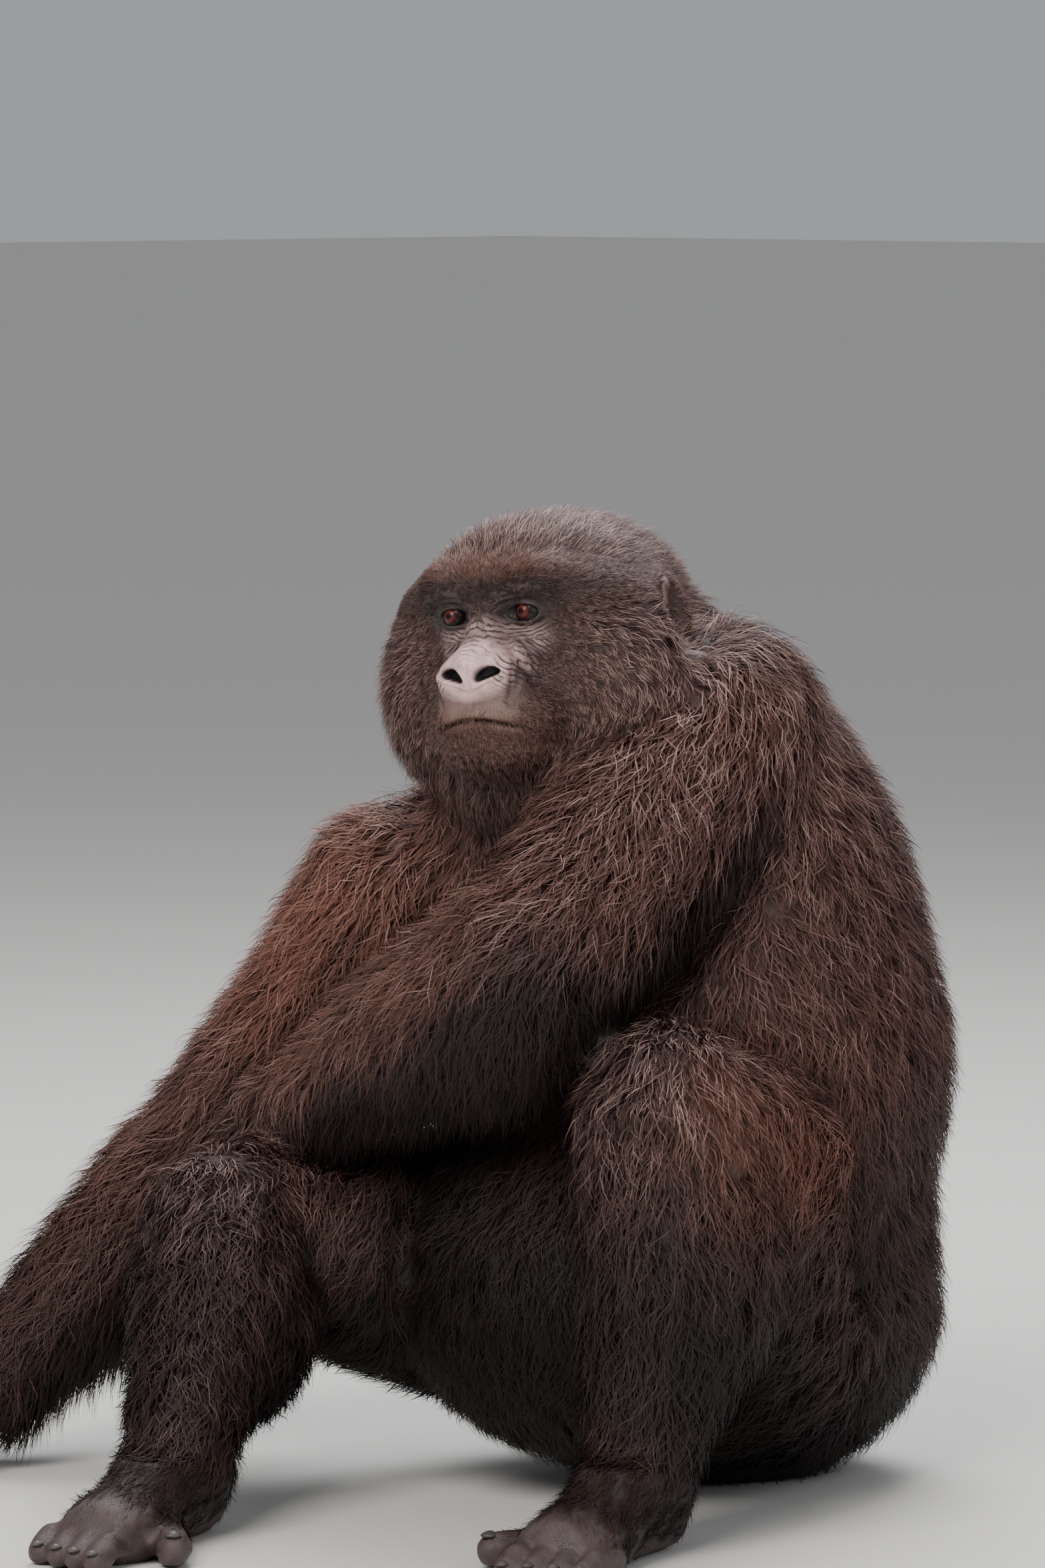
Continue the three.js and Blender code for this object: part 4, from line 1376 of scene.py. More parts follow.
@dataclass(frozen=True)
class HideFinish:
    """Skin that is bare and leathery on the face, hands and feet, and dark under the coat, with painted sheen
    on the nose and painted shade in its creases and hollows.
    """

    tone: CoatTone = CoatTone()
    bare_dark: tuple = rgb(34, 26, 24)
    bare_light: tuple = rgb(60, 47, 44)
    tan: tuple = rgb(124, 92, 78)
    # painted sheen on the nose and muzzle
    pale: tuple = rgb(226, 189, 185)
    # painted shade in the nostrils, the eyes' corners and the mouth's line
    hollow: tuple = rgb(10, 8, 8)
    coat_along: float = 0.2
    roughness: tuple = (0.38, 0.60)
    mottle_scale: float = 85.0
    pore_scale: float = 420.0
    pore_edge: float = 0.12
    pore_depth: float = 0.35
    grain_scale: float = 900.0
    tan_least: float = 1.2
    tan_range: tuple = (0.2, 0.7)
    sheen_range: tuple = (0.0, 0.6)
    wobble_scale: float = 70.0
    wobble: float = 14.0
    patch_scale: float = 95.0
    patch_range: tuple = (0.32, 0.52)
    crease_range: tuple = (0.35, 1.0)
    # painted shade in the wrinkles
    crease_shade: float = 0.92
    crease_depth: float = 3.8
    bump_height: float = 0.0006
    bump_strength: float = 0.7

    def build(self) -> bpy.types.Material:
        """Makes the skin's material.

        Returns:
            The material, which shows bare skin where "bare" is 1 and the coat's ground where it is 0.
        """
        made, pen, shader = material("hide")
        mottle = pen.noise(self.mottle_scale, 5.0)
        place = pen.add("ShaderNodeTexCoord").outputs["Object"]
        cells = {"Vector": place, "Scale": self.pore_scale}
        edge = pen.add("ShaderNodeTexVoronoi", cells, feature="DISTANCE_TO_EDGE").outputs[0]
        pores = pen.remap(edge, 0.0, self.pore_edge)
        bare = pen.mix(mottle, self.bare_dark, self.bare_light)
        tanned = pen.times(pen.attribute("red"), pen.attribute("head"))
        tanned = pen.times(tanned, pen.plus(self.tan_least, pen.remap(mottle, *self.tan_range)), True)
        bare = pen.mix(tanned, bare, self.tan)
        wobble = pen.times(pen.noise(self.wobble_scale, 2.0), self.wobble)
        phase = pen.plus(pen.attribute("crease_phase"), wobble)
        wave = pen.remap(pen.maths("SINE", phase), *self.crease_range)
        patchy = pen.remap(pen.noise(self.patch_scale, 2.0), *self.patch_range)
        crease = pen.times(wave, pen.times(pen.attribute("crease"), patchy))
        # painted sheen, broken by the mottle
        lit = pen.times(pen.attribute("pale"), pen.remap(mottle, *self.sheen_range), True)
        # painted shade in the creases takes the sheen away
        lit = pen.times(lit, pen.maths("SUBTRACT", 1.0, pen.times(crease, self.crease_shade)))
        bare = pen.mix(pen.attribute("hollow"), pen.mix(lit, bare, self.pale), self.hollow)
        furry = self.tone.colour(pen, self.coat_along)
        height = pen.plus(pen.times(pores, self.pore_depth), pen.noise(self.grain_scale, 2.0))
        height = pen.maths("SUBTRACT", height, pen.times(crease, self.crease_depth))
        bump = {"Height": height, "Distance": self.bump_height, "Strength": self.bump_strength}
        pen.fill(shader, {
            "Base Color": pen.mix(pen.attribute("bare"), furry, bare),
            "Roughness": pen.remap(mottle, 0.3, 0.7, self.roughness),
            "Normal": pen.add("ShaderNodeBump", bump).outputs[0],
        })
        return made


@dataclass(frozen=True)
class EyeFinish:
    """A dark sclera, an orange-brown iris with its pupil, and a wet surface. Radii are in millimetres."""

    sclera: tuple = rgb(24, 15, 14)
    ring: tuple = rgb(48, 18, 12)
    iris: tuple = rgb(118, 44, 28)
    pupil: tuple = rgb(8, 5, 5)
    iris_radius: float = 6.1
    ring_share: float = 0.72
    pupil_radius: float = 2.3
    thread_scale: float = 1400.0

    def build(self) -> bpy.types.Material:
        """Makes the eyes' material.

        Returns:
            The material, which reads the distance from the gaze.
        """
        made, pen, shader = material("eye_glass")
        away, edge = pen.attribute("gaze"), self.iris_radius
        body = pen.mix(pen.noise(self.thread_scale), self.iris, self.ring)
        body = pen.mix(pen.remap(away, edge * self.ring_share, edge), body, self.ring)
        body = pen.mix(pen.remap(away, self.pupil_radius + 0.5, self.pupil_radius), body, self.pupil)
        body = pen.mix(pen.remap(away, edge - 0.3, edge + 0.7), body, self.sclera)
        wet = {"Roughness": 0.4, "Specular IOR Level": 0.15, "Coat Weight": 0.25, "Coat Roughness": 0.05}
        pen.fill(shader, {"Base Color": body, **wet})
        return made


@dataclass(frozen=True)
class NailFinish:
    """Dark horn with faint lines."""

    dark: tuple = rgb(42, 37, 36)
    light: tuple = rgb(92, 84, 80)
    roughness: float = 0.42
    cloud_scale: float = 130.0
    line_scale: float = 700.0

    def build(self) -> bpy.types.Material:
        """Makes the nails' material.

        Returns:
            The material.
        """
        made, pen, shader = material("nail_horn")
        lines = {"Height": pen.noise(self.line_scale), "Distance": 0.0003, "Strength": 0.4}
        pen.fill(shader, {
            "Base Color": pen.mix(pen.noise(self.cloud_scale, 4.0), self.dark, self.light),
            "Roughness": self.roughness,
            "Normal": pen.add("ShaderNodeBump", lines).outputs[0],
        })
        return made


# ---------------------------------------------------------------- pieces


def piece(name: str, mesh: bpy.types.Mesh, finish: bpy.types.Material) -> bpy.types.Object:
    """Places a finished mesh in the scene.

    Args:
        name: The piece's name.
        mesh: Its mesh, in the frame's metres.
        finish: Its material.

    Returns:
        The new object, riding on the body.
    """
    mesh.name = name
    mesh.materials.clear()
    mesh.materials.append(finish)
    made = bpy.data.objects.new(name, mesh)
    bpy.context.scene.collection.objects.link(made)
    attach(made, "root")
    mesh.calc_loop_triangles()
    LOG.info("%s: %d triangles", name, len(mesh.loop_triangles))
    return made


@dataclass
class Skin:
    """The one skin of the animal, with its face, hands and feet."""

    body: Body
    finish: HideFinish = HideFinish()
    coarse_cuts: int = 2
    face_spot: Spot = Spot(0, -42, 61, 77)
    fine_spots: tuple = (Spot(36, 3, 27, 22), Spot(0, -54, 47, 26), Spot(0, -97, 58, 12.5))
    ear_reach: float = 32.0
    face_front: float = -58.0
    head_edge: float = 0.3
    # painted sheen on bare skin away from the head
    sheen_elsewhere: float = 0.06
    end_reach: float = 0.012
    sharpening: float = 0.55
    seed: int = 5

    def build(self) -> None:
        """Makes the skin, which stands for every node of flesh."""
        head, mesh = self.body.head, self.inset()
        taken(self.refine(opened(mesh)), mesh)
        self.shape_face(mesh)
        self.shape_ends(mesh)
        points = read_points(mesh)
        points[:, 2] = np.maximum(points[:, 2], 0.0)
        write_points(mesh, points)
        q, near = head.inward(points), read_values(mesh, "head") > self.head_edge
        phase, amount = head.wrinkles(q)
        write_values(mesh, "hollow", np.where(near, head.hollow(q), 0.0))
        write_values(mesh, "crease_phase", phase)
        write_values(mesh, "crease", np.where(near, amount, 0.0))
        write_values(mesh, "pale", np.where(near, head.pale(q), self.sheen_elsewhere))
        strand = np.random.default_rng(self.seed).random(len(points)) * 0.5 + 0.2
        write_values(mesh, "strand", strand)
        mesh.shade_smooth()
        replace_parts(piece("skin", mesh, self.finish.build()), *FLESH)

    def inset(self) -> bpy.types.Mesh:
        """Sinks a copy of the outline by the coat's depth.

        Returns:
            The copy, with the body's fields on it.
        """
        body, hull = self.body, self.body.hull
        mesh = body.mesh.copy()
        write_points(mesh, hull.points - unit(hull.spread(hull.normals, 4)) * body.depth[:, None])
        fields = {
            "bare": body.bare, "red": body.red, "frost": body.frost, "shade": body.shade,
            "head": body.head_weight, "sink": body.depth, "ends": body.on(*END_PARTS).astype(float),
        }
        for name, values in fields.items():
            write_values(mesh, name, values)
        return mesh

    def refine(self, shape: bmesh.types.BMesh) -> bmesh.types.BMesh:
        """Divides a mesh where the face, ears, hands and feet need finer form.

        Args:
            shape: The mesh.

        Returns:
            The same mesh.
        """
        head, ends = self.body.head, shape.verts.layers.float["ends"]
        for level in range(self.coarse_cuts + 1):
            q = head.inward(np.array([v.co for v in shape.verts]))
            spots = (self.face_spot,) if level < self.coarse_cuts else self.fine_spots
            chosen = np.any([spot.away(q) < 1.0 for spot in spots], axis=0) & (q[:, 1] < self.face_front)
            if level < self.coarse_cuts:
                chosen |= head.from_ear(q) < self.ear_reach
            if level < 1:
                chosen |= np.array([v[ends] for v in shape.verts]) > 0.5
            edges = [e for e in shape.edges if chosen[e.verts[0].index] and chosen[e.verts[1].index]]
            bmesh.ops.subdivide_edges(shape, edges=edges, cuts=1, use_grid_fill=True)
            shape.verts.index_update()
        bmesh.ops.triangulate(shape, faces=[f for f in shape.faces if len(f.verts) > 4])
        return shape

    def shape_face(self, mesh: bpy.types.Mesh) -> None:
        """Lays the head's skin on its form and raises its folds.

        Args:
            mesh: The skin.
        """
        points, weight = read_points(mesh), read_values(mesh, "head")
        near = weight > 0.02
        way = self.body.head.settle(points[near]) - points[near]
        blend = np.clip(weight[near] * 1.3, 0.0, 1.0) * smoothstep(0.030, 0.018, np.linalg.norm(way, axis=1))
        points[near] += blend[:, None] * way
        write_points(mesh, points)
        self.relax(mesh, near & (weight > 0.9))
        surface = Surface.from_mesh(mesh)
        carved = self.body.head.carve(surface.points, surface.normals)
        surface.points += (np.clip(2.0 * weight - 0.8, 0.0, 1.0))[:, None] * (carved - surface.points)
        write_points(mesh, surface.points)

    def relax(self, mesh: bpy.types.Mesh, chosen: np.ndarray) -> None:
        """Evens out the spacing of points along the head's skin, then lays them down again.

        Args:
            mesh: The skin.
            chosen: Marks the points.
        """
        surface = Surface.from_mesh(mesh)
        for _ in range(2):
            for _ in range(4):
                drift = surface.along(surface.mean(surface.points) - surface.points)
                surface.points[chosen] += 0.5 * drift[chosen]
                surface.refresh()
            surface.points[chosen] = self.body.head.settle(surface.points[chosen], 5)
        write_points(mesh, surface.points)

    def shape_ends(self, mesh: bpy.types.Mesh) -> None:
        """Lays hands and feet on their own solids and deepens the furrows between the fingers.

        Args:
            mesh: The skin.
        """
        points = read_points(mesh)
        chosen = read_values(mesh, "ends") > 0.6
        solid = merged_copy(END_PARTS)
        tree = tree_of(solid)
        sink = read_values(mesh, "sink") * (1.0 - read_values(mesh, "bare"))
        for index in np.flatnonzero(chosen):
            place, normal = tree.find_nearest(Vector(points[index]), self.end_reach)[:2]
            if place is not None:
                points[index] = place - normal * sink[index]
        write_points(mesh, points)
        surface = Surface.from_mesh(mesh)
        for _ in range(2):
            surface.points[chosen] += 0.5 * (surface.mean(surface.points) - surface.points)[chosen]
        sharper = surface.points + self.sharpening * (surface.points - surface.spread(surface.points, 14))
        surface.points[chosen] = sharper[chosen]
        write_points(mesh, surface.points)
        bpy.data.meshes.remove(solid)


@dataclass
class Eyes:
    """The two eyeballs with their bulging corneas. Cornea sizes are in millimetres."""

    head: HeadForm
    finish: EyeFinish = EyeFinish()
    gaze: tuple = (-0.12, -0.985, 0.02)
    cornea_radius: float = 6.6
    cornea_rise: float = 1.3
    behind: float = 99.0

    def build(self) -> None:
        """Makes both eyes."""
        finish = self.finish.build()
        look = Vector(unit(self.head.turn(np.array([self.gaze])))[0])
        turn = Vector((0.0, 0.0, 1.0)).rotation_difference(look).to_matrix()
        for side in SIDES:
            low, high = box_of(f"eye_{side}")
            shape, radius = bmesh.new(), float((high - low).mean()) / 2.0
            bmesh.ops.create_uvsphere(shape, u_segments=64, v_segments=40, radius=radius)
            away = []
            for vert in shape.verts:
                span, front = math.hypot(vert.co.x, vert.co.y) / MM, vert.co.z > 0.0
                away.append(span if front else self.behind)
                if front:
                    rise = max(0.0, 1.0 - (span / self.cornea_radius) ** 2)
                    vert.co += vert.normal * rise * self.cornea_rise * MM
            bmesh.ops.rotate(shape, verts=shape.verts, matrix=turn)
            bmesh.ops.translate(shape, verts=shape.verts, vec=Vector((low + high) / 2.0))
            mesh = taken(shape, bpy.data.meshes.new(f"eyeball_{side}"))
            write_values(mesh, "gaze", np.array(away))
            mesh.shade_smooth()
            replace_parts(piece(f"eyeball_{side}", mesh, finish), f"eye_{side}")


@dataclass
class Nails:
    """The nails of each hand and foot."""

    finish: NailFinish = NailFinish()

    def build(self) -> None:
        """Makes one piece of five nails for each hand and foot."""
        finish = self.finish.build()
        for end in END_PARTS:
            names = tuple(f"nail_{end}_{number}" for number in range(1, 6))
            mesh = applied(merged_copy(names), "nails", "SUBSURF", levels=2, render_levels=2)
            mesh.shade_smooth()
            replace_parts(piece(f"nails_{end}", mesh, finish), *names)


# ---------------------------------------------------------------- the coat


@dataclass
class Tufts:
    """Arrays with a row for each tuft: where it grows and how it grows."""

    clump: np.ndarray  # its clump
    vertex: np.ndarray  # the outline's point under its clump's root
    side: np.ndarray  # direction across the lie of the coat
    offset: np.ndarray  # way from its clump's middle
    full: np.ndarray  # length of the coat there
    shorter: np.ndarray  # share of its clump's path that it covers
    draw: np.ndarray  # how far it closes up to its clump's middle at the tip
    layer: np.ndarray  # 1 on top of the coat, less below
    wave: np.ndarray  # width of its waves
    phase: np.ndarray  # where its waves begin
    turns: np.ndarray  # number of its waves
    fling: np.ndarray  # how far its tip stands off
    stray: np.ndarray  # how far its tip wanders sideways
    # its lightness: its own tone, lowered in the under-layer as painted shade
    strand: np.ndarray  # its own lightness
    width: np.ndarray  # width of its ribbon
    roll: np.ndarray  # how far its ribbon is turned about its line
    line: np.ndarray = field(init=False)  # its places from root to tip
    up: np.ndarray = field(init=False)  # directions out of the body along it


@dataclass
class Coat:
    """A combed coat: ribbons of hair in clumps that walk over the outline of the body.

    Lengths are in metres. A spread is one standard deviation. Waviness, stray and fling are shares of a
    tuft's length.
    """

    body: Body
    name: str
    parts: tuple
    regions: tuple
    clumps: int
    per_clump: int = 10
    levels: int = 4
    clump_radius: float = 0.009
    clump_reach: float = 1.3
    lowest_density: float = 0.3
    width: float = 0.0014
    draw: float = 0.45
    draw_spread: float = 0.25
    most_draw: float = 0.95
    waviness: float = 0.045
    phase_spread: float = 0.9
    stray: float = 0.15
    shortening: float = 0.5
    under_layer: float = 0.85
    fling: float = 0.05
    fling_spread: float = 0.12
    fling_range: tuple = (-0.05, 0.45)
    short_hair: tuple = (0.024, 0.008)
    short_tone: float = 0.56
    short_evenness: float = 0.38
    roll_spread: float = 0.4
    length_spread: float = 0.15
    turn_spread: float = 0.27
    curl_spread: float = 0.30
    sways: tuple = ((0.26, 0.13), (0.20, 0.05))  # how far they turn the hair, wave in metres
    highest_rise: float = 0.03
    most_triangles: int = 196000
    seed: int = 11
    profile: tuple = ((0.0, 0.25, 0.5, 0.75, 1.0), (0.7, 1.0, 0.9, 0.6, 0.1))  # places, widths
    clear: tuple = (0.0006, 0.0004)  # least height of a tuft's line and of its edges over the floor
    map_columns: int = 5
    map_patch: float = 0.003

    def build(self, finish: bpy.types.Material) -> None:
        """Plants, combs and dresses the coat.

        Args:
            finish: The hair's material.
        """
        rng = np.random.default_rng(self.seed)
        vertex, root = self.sow(rng)
        paths, rises = self.walk(rng, vertex, root)
        tufts = self.gather(rng, vertex)
        self.lay(tufts, paths, rises)
        group = self.body.part[tufts.vertex]
        most = self.most_triangles // (2 * self.levels - 1)
        for label, names in self.regions:
            chosen = np.flatnonzero(np.isin(group, [PART_ID[name] for name in names]))
            count = max(1, math.ceil(len(chosen) / most))
            for number, some in enumerate(np.array_split(chosen, count)):
                suffix = f"_{number + 1}" if count > 1 else ""
                piece(f"coat_{label}{suffix}", self.weave(tufts, some), finish)
        LOG.info("coat of the %s: %d tufts", self.name, len(group))

    def sow(self, rng: np.random.Generator) -> tuple[np.ndarray, np.ndarray]:
        """Scatters clumps by area and density.

        Args:
            rng: Source of chance.

        Returns:
            The nearest point of the outline and the place of each clump.
        """
        hull, body, count = self.body.hull, self.body, self.clumps
        a, b, c = (hull.points[hull.triangles[:, k]] for k in range(3))
        area = np.linalg.norm(np.cross(b - a, c - a), axis=1)
        own = body.on(*self.parts)
        weight = area * (body.density * own)[hull.triangles].mean(axis=1)
        chance = np.cumsum(weight) / weight.sum()
        pick = np.searchsorted(chance, (np.arange(count) + rng.random(count)) / count)
        pick = np.minimum(pick, len(weight) - 1)
        mix = rng.random((count, 2))
        flip = mix.sum(axis=1) > 1.0
        mix[flip] = 1.0 - mix[flip]
        share = np.stack([1.0 - mix.sum(axis=1), mix[:, 0], mix[:, 1]], axis=1)
        corners = hull.triangles[pick]
        place = (hull.points[corners] * share[:, :, None]).sum(axis=1)
        best = np.where(own[corners], share, -1.0).argmax(axis=1)
        return corners[np.arange(count), best], place

    def walk(
        self, rng: np.random.Generator, vertex: np.ndarray, root: np.ndarray
    ) -> tuple[np.ndarray, np.ndarray]:
        """Leads the middle of each clump over the outline along the lie of the coat.

        Args:
            rng: Source of chance.
            vertex: The outline's point under each clump.
            root: Where each clump starts.

        Returns:
            The clumps' paths, clump by level, and how far they hang clear of the body.
        """
        hull, body, count = self.body.hull, self.body, len(vertex)
        length = body.length[vertex] * np.exp(self.length_spread * rng.standard_normal(count))
        turn = self.turn_spread * rng.standard_normal(count)
        for amount, size in self.sways:
            turn = turn + amount * self.sway(root, size)
        curl = self.curl_spread * rng.standard_normal(count)
        here, place, free = vertex, root, np.zeros(count)
        paths, rises = [place], [free]
        for level in range(self.levels):
            normal, flow = hull.normals[here], body.flow[here]
            free = np.maximum(free, body.loose[here] * (level + 1) / self.levels)
            angle = (turn + curl * (level / self.levels - 0.3))[:, None]
            heading = unit(flow * np.cos(angle) + np.cross(normal, flow) * np.sin(angle))
            heading = unit(heading * (1.0 - 0.8 * free[:, None]) + DOWN * 0.9 * free[:, None])
            place = place + heading * (length / self.levels)[:, None]
            here = hull.nearer(here, place)
            normal = hull.normals[here]
            height = dot(place - hull.points[here], normal)
            rise = np.clip(height, 0.0, self.highest_rise) * np.minimum(1.5 * free, 1.0)
            place = place + normal * (rise - height)[:, None]
            paths.append(place)
            rises.append(rise)
        return np.stack(paths, axis=1), np.stack(rises, axis=1)

    @staticmethod
    def sway(points: np.ndarray, size: float) -> np.ndarray:
        """Wanders smoothly over space.

        Args:
            points: Where, in metres.
            size: The length of a wave.

        Returns:
            Numbers between about -1 and 1.
        """
        x, y, z = (points * (2.0 * math.pi / size)).T
        first = np.sin(x + 1.7 * np.sin(0.61 * y + 1.3)) + np.sin(0.83 * z + 1.9 * np.sin(0.57 * x))
        return (first + np.sin(0.91 * y + 1.4 * np.sin(0.73 * z + 0.4))) / 3.0

    def gather(self, rng: np.random.Generator, vertex: np.ndarray) -> Tufts:
        """Fills the clumps with tufts that draw together towards their tips.

        Args:
            rng: Source of chance.
            vertex: The outline's point under each clump's root.

        Returns:
            The tufts, not yet laid.
        """
        hull, body, n = self.body.hull, self.body, len(vertex)
        owner = np.repeat(np.arange(n), self.per_clump)
        total = len(owner)
        flow = body.flow[vertex]
        side = np.cross(hull.normals[vertex], flow)[owner]
        spacing = self.clump_radius / np.sqrt(np.maximum(body.density[vertex], self.lowest_density))
        radius = spacing[owner] * np.sqrt(rng.random(total)) * self.clump_reach
        angle = rng.random(total) * 2.0 * math.pi
        full = body.length[vertex][owner]
        shorter = 1.0 - self.shortening * rng.random(total) ** 2
        draw = np.clip(self.draw + self.draw_spread * rng.standard_normal(total), 0.0, self.most_draw)
        layer = 1.0 - self.under_layer * rng.random(total) ** 1.6
        wave = self.waviness * (0.5 + rng.random(n))[owner] * full
        phase = (rng.random(n) * 2.0 * math.pi)[owner] + self.phase_spread * rng.standard_normal(total)
        turns = (0.9 + 0.8 * rng.random(n))[owner] * np.clip(full / 0.05, 0.3, 1.2)
        fling = np.clip(self.fling + self.fling_spread * rng.standard_normal(total), *self.fling_range)
        stray = self.stray * full * rng.standard_normal(total)
        # each strand's own tone, darker in the lower layers as painted shade
        strand = (0.7 * rng.random(total) + 0.3 * rng.random(n)[owner]) * (0.35 + 0.65 * layer)
        strand += self.short_evenness * smoothstep(*self.short_hair, full) * (self.short_tone - strand)
        scale = np.clip(full / 0.045, 0.55, 1.1) * (0.7 + 0.6 * rng.random(total)) * (1.8 - 1.25 * layer)
        return Tufts(
            clump=owner, vertex=vertex[owner], side=side, full=full, shorter=shorter, draw=draw, layer=layer,
            offset=(np.cos(angle) * radius)[:, None] * flow[owner] + (np.sin(angle) * radius)[:, None] * side,
            wave=wave, phase=phase, turns=turns, fling=fling, stray=stray, strand=strand,
            width=self.width * scale, roll=self.roll_spread * rng.standard_normal(total),
        )

    def height(self, tufts: Tufts, t: float, rise: np.ndarray) -> np.ndarray:
        """Measures how high over the outline the tufts run.

        Args:
            tufts: The tufts.
            t: The share of the way from root to tip.
            rise: How far their clumps hang clear of the body there.

        Returns:
            Metres, below zero inside the coat.
        """
        full, layer, depth = tufts.full, tufts.layer, self.body.depth[tufts.vertex]
        grown = smoothstep(0.0, 0.6, t)
        height = rise * (0.4 + 0.6 * layer) - depth * (1.0 - layer * grown)
        height = height - 0.04 * np.minimum(full, 0.03) * (1.0 - t)
        height = height + full * tufts.fling * t * t + 0.0012 * smoothstep(0.016, 0.006, full) * t
        return np.minimum(height, rise + 0.004 + 0.10 * full)

    def lay(self, tufts: Tufts, paths: np.ndarray, rises: np.ndarray) -> None:
        """Leads each tuft along its clump's path.

        Args:
            tufts: The tufts.
            paths: The clumps' paths.
            rises: How far the paths hang clear of the body.
        """
        hull, head, here = self.body.hull, self.body.head, tufts.vertex
        line, up = [], []
        for level in range(self.levels + 1):
            t = level / self.levels
            along = t * tufts.shorter * self.levels
            low = np.minimum(along.astype(int), self.levels - 1)
            part = along - low
            start, end = (tufts.clump, low), (tufts.clump, low + 1)
            middle = paths[start] * (1.0 - part[:, None]) + paths[end] * part[:, None]
            apart = 1.0 - tufts.draw * t**1.4
            bend = tufts.wave * t**0.6 * np.sin(2.0 * math.pi * tufts.turns * t + tufts.phase)
            bend = bend + tufts.stray * t**1.3
            place = middle + tufts.offset * apart[:, None] + tufts.side * bend[:, None]
            here = hull.nearer(here, place)
            out = hull.normals[here]
            height = self.height(tufts, t, rises[start] * (1.0 - part) + rises[end] * part)
            if "head" in self.parts:
                height = height + MM * np.maximum(head.relief(head.inward(place)), 0.0)
            place = place + out * (height - dot(place - hull.points[here], out))[:, None]
            place[:, 2] = np.maximum(place[:, 2], self.clear[0])
            line.append(place)
            up.append(out)
        tufts.line, tufts.up = np.stack(line, 1), np.stack(up, 1)

    def ribbons(self, tufts: Tufts, some: np.ndarray) -> tuple[np.ndarray, np.ndarray]:
        """Widens tufts into ribbons, two points to a level and one at the tip.

        Args:
            tufts: All tufts.
            some: The tufts to widen.

        Returns:
            The points and their shading normals, tuft by point.
        """
        line, up, levels = tufts.line[some], tufts.up[some], self.levels
        tangent = unit(np.gradient(line, axis=1))
        side = unit(np.cross(tangent, up))
        lean = unit(np.cross(tangent, side))
        roll = tufts.roll[some][:, None] * np.linspace(1.0, 0.4, levels + 1)[None, :]
        across = side * np.cos(roll)[:, :, None] + lean * np.sin(roll)[:, :, None]
        profile = np.interp(np.arange(levels) / levels, *self.profile)
        half = 0.5 * tufts.width[some][:, None] * profile[None, :]
        soft = unit(0.8 * up + 0.7 * np.cross(across, tangent))
        points, normals = np.empty((2, len(some), 2 * levels + 1, 3))
        for row, sign in ((0, -1.0), (1, 1.0)):
            points[:, row:2 * levels:2] = line[:, :levels] + sign * across[:, :levels] * half[:, :, None]
            normals[:, row:2 * levels:2] = unit(soft[:, :levels] + sign * 0.5 * across[:, :levels])
        points[:, -1], normals[:, -1] = line[:, -1], soft[:, -1]
        points[:, :, 2] = np.maximum(points[:, :, 2], self.clear[1])
        return points, normals

    def weave(self, tufts: Tufts, some: np.ndarray) -> bpy.types.Mesh:
        """Makes one mesh of ribbons.

        Args:
            tufts: All tufts.
            some: The tufts of this piece.

        Returns:
            The mesh, with its OFBake map and its fields.
        """
        points, normals = self.ribbons(tufts, some)
        count, levels, per = len(some), self.levels, 2 * self.levels + 1
        quads = np.array([[2 * k, 2 * k + 1, 2 * k + 3, 2 * k + 2] for k in range(levels - 1)])
        corners = np.concatenate([quads.ravel(), [per - 3, per - 2, per - 1]])
        loops = (corners[None, :] + (np.arange(count) * per)[:, None]).ravel()
        sizes = np.tile([4] * (levels - 1) + [3], count)
        mesh = bpy.data.meshes.new("tufts")
        mesh.vertices.add(count * per)
        mesh.vertices.foreach_set("co", points.astype(np.float32).ravel())
        mesh.loops.add(len(loops))
        mesh.loops.foreach_set("vertex_index", loops.astype(np.int32))
        mesh.polygons.add(len(sizes))
        mesh.polygons.foreach_set("loop_start", np.concatenate([[0], np.cumsum(sizes)[:-1]]).astype(np.int32))
        mesh.update(calc_edges=True)
        along = np.concatenate([np.repeat(np.arange(levels) / levels, 2), [1.0]])
        across = np.concatenate([np.tile([0.0, 1.0], levels), [0.5]])
        vertex = tufts.vertex[some]
        write_values(mesh, "along", np.tile(along, count))
        write_values(mesh, "strand", np.repeat(tufts.strand[some], per))
        for name in ("red", "frost", "shade"):
            write_values(mesh, name, np.repeat(getattr(self.body, name)[vertex], per))
        place = self.unwrap(tufts.line[some, 0], vertex)
        uv = place[:, None, :] + self.map_patch * np.stack([across, along], axis=1)[None, :, :]
        layer = mesh.uv_layers.new(name="OFBake")
        layer.data.foreach_set("uv", uv.reshape(-1, 2)[loops].astype(np.float32).ravel())
        mesh.shade_smooth()
        mesh.normals_split_custom_set_from_vertices(normals.reshape(-1, 3))
        return mesh

    def unwrap(self, points: np.ndarray, vertex: np.ndarray) -> np.ndarray:
        """Rolls the skin out, each part round its own middle in its own tile of a map.

        Args:
            points: Places on the skin.
            vertex: The outline's point under each.

        Returns:
            Map coordinates between 0 and 1.
        """
        part, columns = self.body.part[vertex], self.map_columns
        result = np.zeros((len(points), 2))
        for number in np.unique(part):
            own = part == number
            low, high = box_of(FLESH[number])
            size = high - low
            long = int(np.argmax(size))
            a, b = (axis for axis in range(3) if axis != long)
            p = points[own] - (low + high) / 2.0
            u = np.arctan2(p[:, a], p[:, b]) / (2.0 * math.pi) + 0.5
            v = np.clip(p[:, long] / size[long] + 0.5, 0.0, 1.0)
            tile = np.array([number % columns, number // columns])
            result[own] = (tile + 0.02 + 0.94 * np.stack([u, v], axis=1)) / columns
        return result


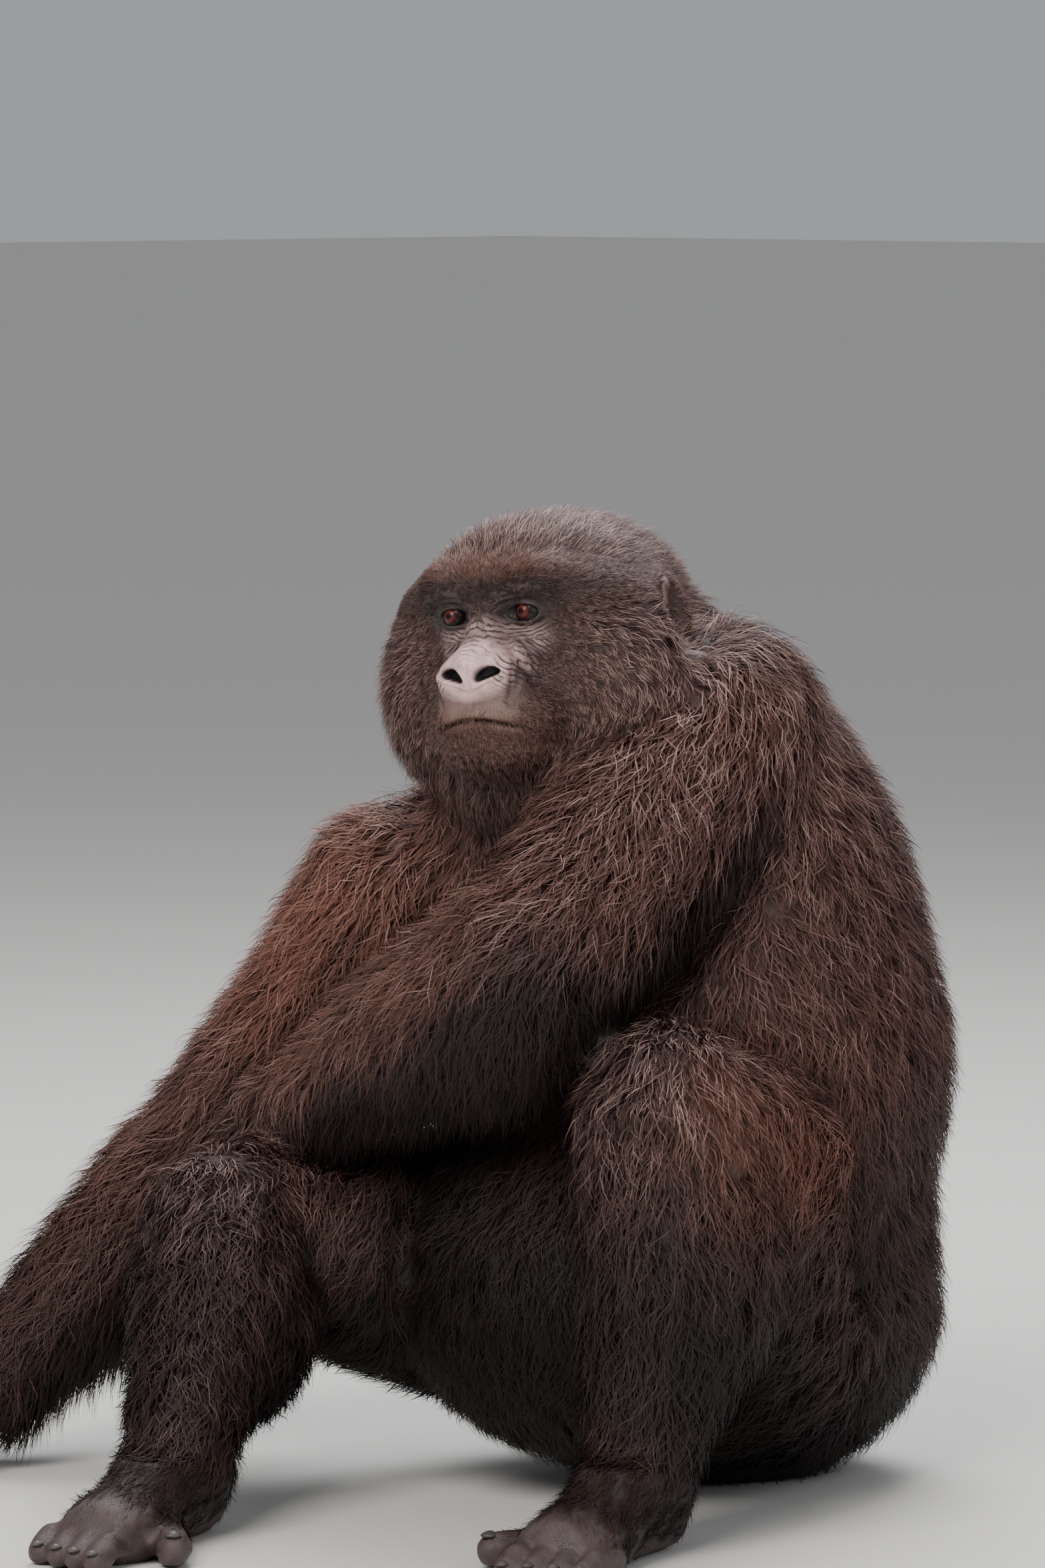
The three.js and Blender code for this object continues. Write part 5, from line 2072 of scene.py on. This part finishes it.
def coats(body: Body) -> tuple[Coat, Coat]:
    """Describes the animal's coats.

    Args:
        body: The body that they grow on.

    Returns:
        The short fine coat of the head and the long coat of the body.
    """
    limbs = {"arm": ("upper_arm", "forearm", "hand"), "leg": ("thigh", "shin", "foot")}
    regions = (("trunk", ("neck", "chest")), ("seat", ("belly", "rump")))
    for limb, parts in limbs.items():
        regions += tuple((f"{limb}_{side}", tuple(f"{part}_{side}" for part in parts)) for side in SIDES)
    rest = tuple(name for name in FLESH if name not in HEAD_PARTS)
    return (
        Coat(body, "head", HEAD_PARTS, (("head", HEAD_PARTS),), clumps=6400, levels=3, clump_radius=0.0046,
             width=0.0011, draw=0.6, waviness=0.025, stray=0.10, seed=7),
        Coat(body, "body", rest, regions, clumps=16000),
    )


# ---------------------------------------------------------------- studio


@dataclass(frozen=True)
class Lamp:
    """A soft square light that faces the animal: metres, watts and a colour."""

    name: str
    place: tuple
    size: float
    power: float
    colour: tuple


@dataclass
class Studio:
    """A near-white floor, soft lights and the camera."""

    target: tuple = (0.0371, 0.1131, 0.620)
    eye: tuple = (4.6158, -4.4656, 1.1865)
    lens: float = 169.13
    sensor: float = 36.0
    far: float = 100.0
    floor_size: float = 60.0
    floor_roughness: float = 0.85
    floor_colour: tuple = rgb(222, 220, 216)
    sky: tuple = (0.88, 0.90, 0.94, 1.0)
    sky_strength: float = 0.42
    lamps: tuple = (
        Lamp("key", (1.2, -3.2, 3.6), 2.6, 190.0, (1.0, 0.97, 0.93)),
        Lamp("fill", (4.2, -0.6, 2.0), 3.0, 42.0, (0.95, 0.97, 1.0)),
        Lamp("top", (-0.8, 1.8, 3.8), 2.4, 170.0, (0.96, 0.98, 1.0)),
    )

    def build(self) -> None:
        """Sets up floor, light and camera."""
        self.floor()
        camera = bpy.data.cameras.new("camera")
        camera.lens, camera.sensor_width, camera.sensor_fit = self.lens, self.sensor, "AUTO"
        camera.clip_end = self.far
        camera.dof.use_dof = False
        bpy.context.scene.camera = self.aim("camera", camera, self.eye)
        world = bpy.data.worlds.new("studio")
        world.use_nodes = True
        background = world.node_tree.nodes["Background"].inputs
        background[0].default_value, background[1].default_value = self.sky, self.sky_strength
        bpy.context.scene.world = world
        for lamp in self.lamps:
            light = bpy.data.lights.new(lamp.name, "AREA")
            light.size, light.energy, light.color = lamp.size, lamp.power, lamp.colour
            self.aim(lamp.name, light, lamp.place)

    def aim(self, name: str, data: bpy.types.ID, place: tuple) -> bpy.types.Object:
        """Points a camera or a light at the animal.

        Args:
            name: The object's name.
            data: The camera or light.
            place: Where it stands.

        Returns:
            The object.
        """
        made = bpy.data.objects.new(name, data)
        made.location = place
        made.rotation_euler = (Vector(self.target) - Vector(place)).to_track_quat("-Z", "Y").to_euler()
        bpy.context.scene.collection.objects.link(made)
        return made

    def floor(self) -> None:
        """Lays the floor."""
        shape = bmesh.new()
        bmesh.ops.create_grid(shape, x_segments=1, y_segments=1, size=self.floor_size)
        mesh = taken(shape, bpy.data.meshes.new("floor"))
        made, pen, shader = material("floor_plain")
        pen.fill(shader, {"Base Color": self.floor_colour, "Roughness": self.floor_roughness})
        mesh.materials.append(made)
        ground = bpy.data.objects.new("floor", mesh)
        bpy.context.scene.collection.objects.link(ground)


def main() -> None:
    """Builds the studio and the animal in order."""
    logging.basicConfig(level=logging.INFO, format="%(message)s")
    Studio().build()
    body = Body()
    body.build()
    Skin(body).build()
    Eyes(body.head).build()
    Nails().build()
    hair = CoatFinish().build()
    for coat in coats(body):
        coat.build(hair)


if __name__ == "__main__":
    main()
